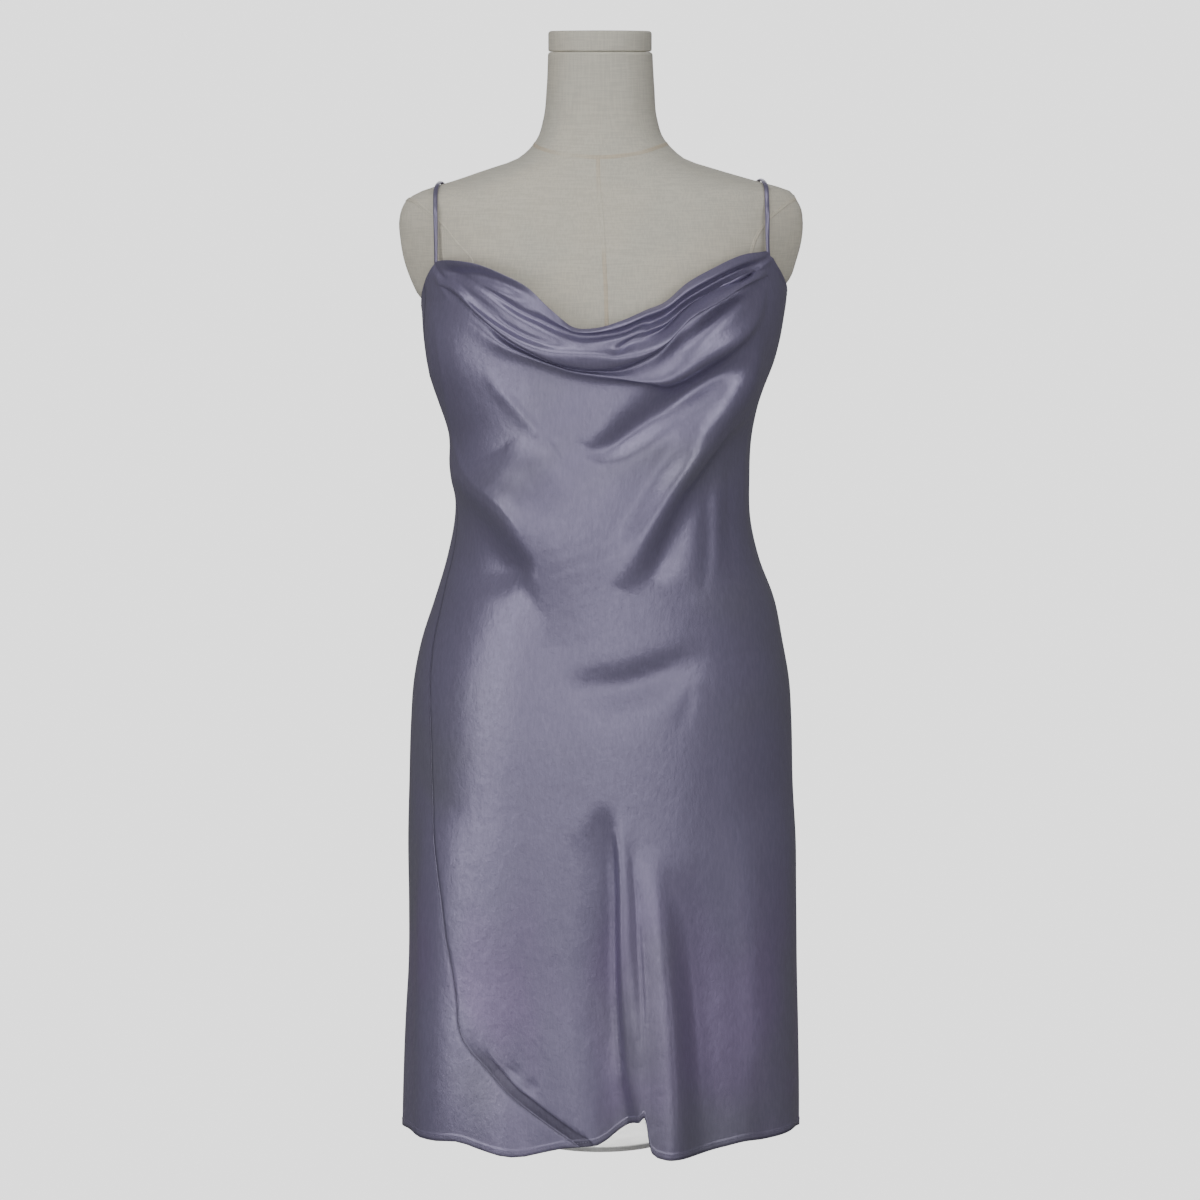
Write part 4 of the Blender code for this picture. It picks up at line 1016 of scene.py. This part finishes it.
def seam_strip(path):
    """Pressed seam of the cover as a thin closed strip along a path on the skin."""
    path = np.array(path, float)
    scale = np.array((FORM_RADIUS * math.pi / 180, 1.0))
    knots = running_length(np.hypot(*(np.diff(path, axis=0) * scale).T))
    at = np.linspace(0, knots[-1], max(4, int(knots[-1] / FORM_SEAM_STEP)))
    angle = np.radians(smooth_curve(knots, path[:, 0], at))
    height = smooth_curve(knots, path[:, 1], at)
    skin = form_point(angle, height)
    out = form_normal(angle, height)
    across = unit(np.cross(unit(np.gradient(skin, axis=0)), out))
    section = [(beside, rise) for beside, rise in FORM_SEAM_SECTION]
    section += [(beside, -FORM_SEAM_SUNK) for beside, _ in reversed(FORM_SEAM_SECTION)]
    rings = [place + np.array([side * beside + over * rise for beside, rise in section])
             for place, side, over in zip(skin, across, out)]
    return closed_rings(rings)


def make_form_seams(material):
    strips = [seam_strip(path) for path in FORM_SEAMS.values()]
    seams = add_object("cover_seams", *joined(strips), material)
    dress_piece(seams, None)


def turned_piece(name, node, material, profile, count=ROUND_SIDES):
    """Solid turned round the pole's axis from rows of radius and height."""
    across, away = np.sin(turns(count)), -np.cos(turns(count))
    rings = [np.stack((radius * across, radius * away, np.full(count, float(height))), axis=-1)
             for radius, height in profile]
    item = add_object(name, *closed_rings(rings), material)
    dress_piece(item, node)


def rounded(radius, height, edge, upward):
    """Rows of a quarter round that ends a turned piece, from the side to the flat or back."""
    rows = []
    for step in range(ROUND_STEPS + 1):
        turn = math.pi / 2 * step / ROUND_STEPS
        rows.append((radius - edge * (1 - math.cos(turn)), height - edge * (1 - math.sin(turn))))
    if upward:
        return rows
    return [(across, 2 * height - rise) for across, rise in reversed(rows)]


def make_stand(linen, paint):
    cap_foot = NECK_TOP + FACE_GAP
    turned_piece("neck_cap", "form_neck_cap", linen, (
        rounded(CAP_RADIUS, cap_foot, CAP_FOOT_EDGE, False)
        + rounded(CAP_RADIUS, CAP_TOP, CAP_EDGE, True)
        + [(CAP_RADIUS - step, CAP_TOP) for step in CAP_TOP_STEPS]))
    turned_piece("stand_pole", "form_pole", paint, (
        rounded(POLE_RADIUS, BASE_THICK + FACE_GAP, STAND_EDGE, False)
        + rounded(POLE_RADIUS, TORSO_BOTTOM - FACE_GAP, STAND_EDGE, True)), count=POLE_SIDES)
    turned_piece("stand_base", "form_base", paint, (
        rounded(BASE_RADIUS, 0, STAND_EDGE, False)
        + rounded(BASE_RADIUS, BASE_THICK, BASE_EDGE, True)
        + [(POLE_RADIUS + reach, BASE_THICK) for reach in BASE_TOP_REACH]))


def strap_points(side):
    """Middle line of a strap: -1 is the left one, +1 the right one."""
    rows = np.array(STRAP_PATH, float)
    if side > 0:
        front_share = np.linspace(1, 0, len(rows)) ** RIGHT_STRAP_EASE
        rows[:, 0] = -rows[:, 0] + RIGHT_STRAP_SHIFT + RIGHT_STRAP_LEAN * front_share
        rows[:, 2] += RIGHT_STRAP_LIFT * front_share * (rows[:, 2] < LIFTED_BELOW)
    knots = running_length(lengths_between(rows))
    at = np.linspace(0, knots[-1], STRAP_STEPS + 1)
    line = np.array([smooth_curve(knots, rows[:, axis], at) for axis in range(3)]).T
    return lay_on_form(line, STRAP_THICK / 2 + STRAP_CLEARANCE)


def lay_on_form(points, clearance):
    """Keep points at least the clearance off the form, and no more than that on the shoulder."""
    angle, height = np.meshgrid(turns(SHOULDER_TURNS), np.arange(*SHOULDER_HEIGHTS, SHOULDER_STEP))
    out = form_normal(angle, height).reshape(-1, 3)
    skin = form_point(angle, height).reshape(-1, 3)
    points = points.copy()
    for _ in range(LAY_PASSES):
        for place, point in enumerate(points):
            nearest = np.argmin(((skin - point) ** 2).sum(axis=1))
            short = clearance - (point - skin[nearest]) @ out[nearest]
            straight = unit(out[nearest] * (0, 1, 1))
            move = short / (straight @ out[nearest])
            points[place] += max(move, move * soft_step(*STRAP_RESTS, point[2])) * straight
    return points


def strap_facing(middle):
    """Direction that a strap's flat side faces: away from the shoulder, and at its ends the body."""
    off_shoulder = unit(middle * (0, 1, 1) - (0, 0, SHOULDER_CORE))
    half_width, half_depth = BODY_HALVES
    off_body = unit(middle * (1 / half_width**2, 1 / half_depth**2, 0))
    share = soft_step(*STRAP_TURNS, middle[:, 2:])
    return off_body + (off_shoulder - off_body) * share


def make_strap(name, node, side, material):
    middle = strap_points(side)
    kernel = np.array(STRAP_SMOOTHING) / sum(STRAP_SMOOTHING)
    for axis in range(3):
        middle[2:-2, axis] = np.convolve(middle[:, axis], kernel, "valid")
    run = unit(np.gradient(middle, axis=0))
    across = unit(np.cross(run, strap_facing(middle)))
    inward = np.cross(run, across)
    turn = turns(STRAP_SIDES)[:, None]
    half_width, half_depth = STRAP_WIDTH / 2, STRAP_THICK / 2
    rings = [point + half_width * np.cos(turn) * wide + half_depth * np.sin(turn) * deep
             for point, wide, deep in zip(middle, across, inward)]
    strap = add_object(name, *closed_rings(rings), material)
    dress_piece(strap, node)


# Materials

def effect_group(name, inputs, outputs):
    """Empty node group with named inputs, as name, kind and value, and named outputs."""
    group = bpy.data.node_groups.new(name, "ShaderNodeTree")
    for socket, kind, value in inputs:
        made = group.interface.new_socket(socket, in_out="INPUT", socket_type=kind)
        made.default_value = value
    for socket, kind in outputs:
        group.interface.new_socket(socket, in_out="OUTPUT", socket_type=kind)
    return group, group.nodes.new("NodeGroupInput"), group.nodes.new("NodeGroupOutput")


def noise_at(tree, stretch, detail, distortion=0.0):
    """Noise in object space, stretched by a scale for each axis."""
    place = tree.nodes.new("ShaderNodeTexCoord")
    mapping = tree.nodes.new("ShaderNodeMapping")
    mapping.inputs["Scale"].default_value = stretch
    noise = tree.nodes.new("ShaderNodeTexNoise")
    noise.inputs["Scale"].default_value = 1.0
    noise.inputs["Detail"].default_value = detail
    noise.inputs["Distortion"].default_value = distortion
    tree.links.new(place.outputs["Object"], mapping.inputs["Vector"])
    tree.links.new(mapping.outputs["Vector"], noise.inputs["Vector"])
    return noise.outputs["Fac"]


def mapped(tree, value, low, high, to_low=0.0, to_high=1.0):
    """A value turned smoothly from one range to another."""
    node = tree.nodes.new("ShaderNodeMapRange")
    node.interpolation_type = "SMOOTHSTEP"
    for socket, number in zip(("From Min", "From Max", "To Min", "To Max"), (low, high, to_low, to_high)):
        node.inputs[socket].default_value = number
    tree.links.new(value, node.inputs["Value"])
    return node.outputs["Result"]


def feed(tree, socket, source):
    """Link a socket to a source, or set it to a value."""
    if hasattr(source, "is_linked"):
        tree.links.new(source, socket)
    else:
        socket.default_value = source


def mixed(tree, share, first, second, blend="MIX"):
    """One colour laid over another by a share."""
    node = tree.nodes.new("ShaderNodeMix")
    node.data_type = "RGBA"
    node.blend_type = blend
    for place, source in ((MIX_SHARE, share), (MIX_FIRST, first), (MIX_SECOND, second)):
        feed(tree, node.inputs[place], source)
    return node.outputs[MIX_RESULT]


def maths(tree, operation, first, second):
    node = tree.nodes.new("ShaderNodeMath")
    node.operation = operation
    for socket, source in zip(node.inputs, (first, second)):
        feed(tree, socket, source)
    return node.outputs[0]


def satin_face_group():
    """Colour, gloss and fine relief of washed satin, used by the panels, straps and thread, darkened by
    painted shade where the "Pressed" input is set.
    """
    group, given, result = effect_group(
        "satin face",
        (("Main", "NodeSocketColor", SATIN), ("Violet", "NodeSocketColor", SATIN_VIOLET),
         ("Grey", "NodeSocketColor", SATIN_GREY), ("Slub", "NodeSocketFloat", 1.0),
         ("Pebble", "NodeSocketFloat", 1.0), ("Pressed", "NodeSocketFloat", 0.0)),
        (("Colour", "NodeSocketColor"), ("Roughness", "NodeSocketFloat"), ("Height", "NodeSocketFloat")))
    main, violet, grey = (given.outputs[name] for name in ("Main", "Violet", "Grey"))
    violet_patches = noise_at(group, stretch=(9, 9, 4), detail=2)
    grey_patches = noise_at(group, stretch=(4, 6, 5), detail=2, distortion=0.4)
    slub = noise_at(group, stretch=(430, 430, 95), detail=2)
    pebble = noise_at(group, stretch=(300, 300, 210), detail=3, distortion=0.6)
    crumple = noise_at(group, stretch=(70, 70, 42), detail=3)
    violet_share = maths(
        group, "MULTIPLY", mapped(group, violet_patches, low=0.42, high=0.60),
        mapped(group, height_above_floor(group), low=0.34, high=0.14))
    colour = mixed(group, violet_share, main, violet)
    colour = mixed(group, mapped(group, grey_patches, low=0.48, high=0.68), colour, grey)
    fleck = mapped(group, slub, low=0.35, high=0.70, to_low=0.955, to_high=1.04)
    colour = mixed(group, 1.0, colour, fleck, "MULTIPLY")
    # Painted shade: the "Pressed" input halves the colour at its full share.
    shade = mapped(group, given.outputs["Pressed"], low=0.0, high=1.0, to_low=1.0, to_high=0.5)
    colour = mixed(group, 1.0, colour, shade, "MULTIPLY")
    thread = maths(group, "MULTIPLY", slub, given.outputs["Slub"])
    grain = maths(group, "MULTIPLY", pebble, given.outputs["Pebble"])
    height = maths(group, "ADD", maths(group, "MULTIPLY", thread, SLUB_RISE), grain)
    height = maths(group, "ADD", height, maths(group, "MULTIPLY", crumple, CRUMPLE_RISE))
    roughness = mapped(group, pebble, low=0.3, high=0.7, to_low=0.30, to_high=0.38)
    for name, source in (("Colour", colour), ("Roughness", roughness), ("Height", height)):
        group.links.new(source, result.inputs[name])
    return group


def height_above_floor(tree):
    place = tree.nodes.new("ShaderNodeTexCoord")
    apart = tree.nodes.new("ShaderNodeSeparateXYZ")
    tree.links.new(place.outputs["Object"], apart.inputs["Vector"])
    return apart.outputs["Z"]


def plain_weave_group():
    """Colour and relief of a plain linen weave."""
    group, given, result = effect_group(
        "plain weave",
        (("Main", "NodeSocketColor", LINEN), ("Warm", "NodeSocketColor", LINEN_WARM)),
        (("Colour", "NodeSocketColor"), ("Height", "NodeSocketFloat")))
    patches = mapped(group, noise_at(group, stretch=(9, 9, 7), detail=3), low=0.42, high=0.62)
    colour = mixed(group, patches, given.outputs["Main"], given.outputs["Warm"])
    warp = noise_at(group, stretch=(700, 700, 40), detail=1)
    weft = noise_at(group, stretch=(50, 50, 800), detail=1)
    weave = maths(group, "ADD", warp, weft)
    fleck = mapped(group, weave, low=0.75, high=1.25, to_low=0.93, to_high=1.06)
    colour = mixed(group, 1.0, colour, fleck, "MULTIPLY")
    group.links.new(colour, result.inputs["Colour"])
    group.links.new(weave, result.inputs["Height"])
    return group


def new_material(name, colour, roughness, metallic=0.0):
    material = bpy.data.materials.new(name)
    material.use_nodes = True
    shader = material.node_tree.nodes["Principled BSDF"]
    shader.inputs["Base Color"].default_value = colour
    shader.inputs["Roughness"].default_value = roughness
    shader.inputs["Metallic"].default_value = metallic
    return material, shader


def place_group(material, group, values):
    node = material.node_tree.nodes.new("ShaderNodeGroup")
    node.node_tree = group
    for socket, value in values.items():
        node.inputs[socket].default_value = value
    return node


def add_relief(material, shader, height, strength, distance):
    bump = material.node_tree.nodes.new("ShaderNodeBump")
    bump.inputs["Strength"].default_value = strength
    bump.inputs["Distance"].default_value = distance
    material.node_tree.links.new(height, bump.inputs["Height"])
    material.node_tree.links.new(bump.outputs["Normal"], shader.inputs["Normal"])


def satin_material(name, group, main, metallic, relief):
    material, shader = new_material(name, main, roughness=0.4, metallic=metallic)
    links = material.node_tree.links
    face = place_group(material, group, {"Main": main})
    # Painted shade, read from the panels' "pressed" attribute
    pressed = material.node_tree.nodes.new("ShaderNodeAttribute")
    pressed.attribute_name = "pressed"
    links.new(pressed.outputs["Fac"], face.inputs["Pressed"])
    links.new(face.outputs["Colour"], shader.inputs["Base Color"])
    links.new(face.outputs["Roughness"], shader.inputs["Roughness"])
    add_relief(material, shader, face.outputs["Height"], strength=relief, distance=0.0004)
    return material


def linen_material(name, group, main):
    material, shader = new_material(name, main, roughness=0.85)
    links = material.node_tree.links
    weave = place_group(material, group, {"Main": main})
    links.new(weave.outputs["Colour"], shader.inputs["Base Color"])
    shader.inputs["Sheen Weight"].default_value = 0.15
    shader.inputs["Sheen Roughness"].default_value = 0.6
    add_relief(material, shader, weave.outputs["Height"], strength=0.5, distance=0.0003)
    return material


def paint_material(name, group):
    material, shader = new_material(name, PAINT, roughness=0.45)
    grain = place_group(material, group, {"Main": PAINT, "Warm": PAINT})
    material.node_tree.links.new(grain.outputs["Colour"], shader.inputs["Base Color"])
    add_relief(material, shader, grain.outputs["Height"], strength=0.15, distance=0.0002)
    return material


# Floor, light and camera

def glow_material(name, colour, glow):
    material, shader = new_material(name, BLACK, roughness=1.0)
    shader.inputs["Specular IOR Level"].default_value = 0.0
    shader.inputs["Emission Color"].default_value = colour
    shader.inputs["Emission Strength"].default_value = glow
    return material


def make_floor():
    """Large pale floor disc, seen by the camera alone so that it casts no light on the cloth."""
    mesh = bpy.data.meshes.new("floor")
    corners = [(FLOOR_RADIUS * math.sin(turn), FLOOR_RADIUS * math.cos(turn), 0.0)
               for turn in turns(FLOOR_SIDES)[::-1]]
    mesh.from_pydata(corners, [], [tuple(range(FLOOR_SIDES))])
    floor = bpy.data.objects.new("floor", mesh)
    mesh.materials.append(glow_material("pale floor", PALE, BACKDROP_GLOW))
    bpy.context.scene.collection.objects.link(floor)
    for ray in ("visible_diffuse", "visible_glossy", "visible_transmission", "visible_shadow"):
        setattr(floor, ray, False)


def make_world():
    """Pale surroundings for the camera and dim ones for the light that falls on the dress."""
    world = bpy.data.worlds.new("studio")
    bpy.context.scene.world = world
    world.use_nodes = True
    tree = world.node_tree
    ground = tree.nodes["Background"]
    ground.inputs["Color"].default_value = PALE
    rays = tree.nodes.new("ShaderNodeLightPath")
    strength = tree.nodes.new("ShaderNodeMapRange")
    strength.inputs["To Min"].default_value = SURROUND_GLOW
    strength.inputs["To Max"].default_value = BACKDROP_GLOW
    tree.links.new(rays.outputs["Is Camera Ray"], strength.inputs["Value"])
    tree.links.new(strength.outputs["Result"], ground.inputs["Strength"])


def aim(item, place, target):
    """Put an object at a place with its -Z axis towards a target and its Y axis upright."""
    away = unit(np.array(place, float) - np.array(target, float))
    right = unit(np.cross((0, 0, 1), away))
    upright = np.cross(away, right)
    rows = [[right[axis], upright[axis], away[axis], place[axis]] for axis in range(3)] + [[0, 0, 0, 1]]
    item.matrix_world = Matrix(rows)


def add_lamp(name, shape, size, watts, place, target):
    lamp = bpy.data.lights.new(name, "AREA")
    lamp.shape = shape
    lamp.size = size
    lamp.energy = watts
    item = bpy.data.objects.new(name, lamp)
    bpy.context.scene.collection.objects.link(item)
    aim(item, place, target)
    return lamp


def make_lights():
    """Softboxes round the dress, all turned to its middle."""
    for name, (turn, lift, distance, width, height, watts) in LIGHTS.items():
        flat = distance * math.cos(math.radians(lift))
        place = (flat * math.sin(math.radians(turn)), -flat * math.cos(math.radians(turn)),
                 LIGHT_AIM[2] + distance * math.sin(math.radians(lift)))
        add_lamp(name, "RECTANGLE", width, watts, place, LIGHT_AIM).size_y = height


def make_small_lamps():
    """A lamp that lights the base inside the skirt, and two that pick out the sides of the hem."""
    for name, (place, target, size, spread, watts) in SMALL_LAMPS.items():
        add_lamp(name, "DISK", size, watts, place, target).spread = math.radians(spread)


def make_camera():
    lens = bpy.data.cameras.new("camera")
    lens.lens = CAMERA_LENS
    lens.sensor_width = SENSOR_WIDTH
    lens.clip_end = CAMERA_REACH
    camera = bpy.data.objects.new("camera", lens)
    bpy.context.scene.collection.objects.link(camera)
    camera.location = CAMERA_PLACE
    camera.rotation_euler = (math.radians(90 - CAMERA_DOWN), 0, 0)
    bpy.context.scene.camera = camera


def make_dress(satin, thread):
    front, front_angles = fine_panel(row_runs(FRONT_ROW_RUNS), True)
    back, back_angles = fine_panel(row_runs(BACK_ROW_RUNS), False)
    # The panels' "pressed" attribute holds painted shade along the seam, the hem's rolled edge and the
    # allowance.
    front_panel = cloth_shell("front_panel", front, painted_shade_share(front_angles, front[..., 2], True), satin)
    back_panel = cloth_shell("back_panel", back, painted_shade_share(back_angles, back[..., 2], False), satin)
    dress_piece(front_panel, "dress_front")
    dress_piece(back_panel, "dress_back")
    stitches = stitch_rows(((front, front_angles, True), (back, back_angles, False)), thread)
    make_strap("strap_left", "dress_strap_left", -1, satin)
    make_strap("strap_right", "dress_strap_right", 1, satin)


def main():
    satin_face = satin_face_group()
    weave = plain_weave_group()
    satin = satin_material("bias satin", satin_face, SATIN, metallic=0.45, relief=0.45)
    thread = satin_material("satin thread", satin_face, SATIN_THREAD, metallic=0.1, relief=0.1)
    linen = linen_material("linen cover", weave, LINEN)
    linen_seam = linen_material("pressed linen seam", weave, LINEN_SEAM)
    paint = paint_material("pale stand paint", weave)
    make_torso(linen)
    make_form_seams(linen_seam)
    make_stand(linen, paint)
    make_dress(satin, thread)
    make_floor()
    make_world()
    make_lights()
    make_small_lamps()
    make_camera()


main()
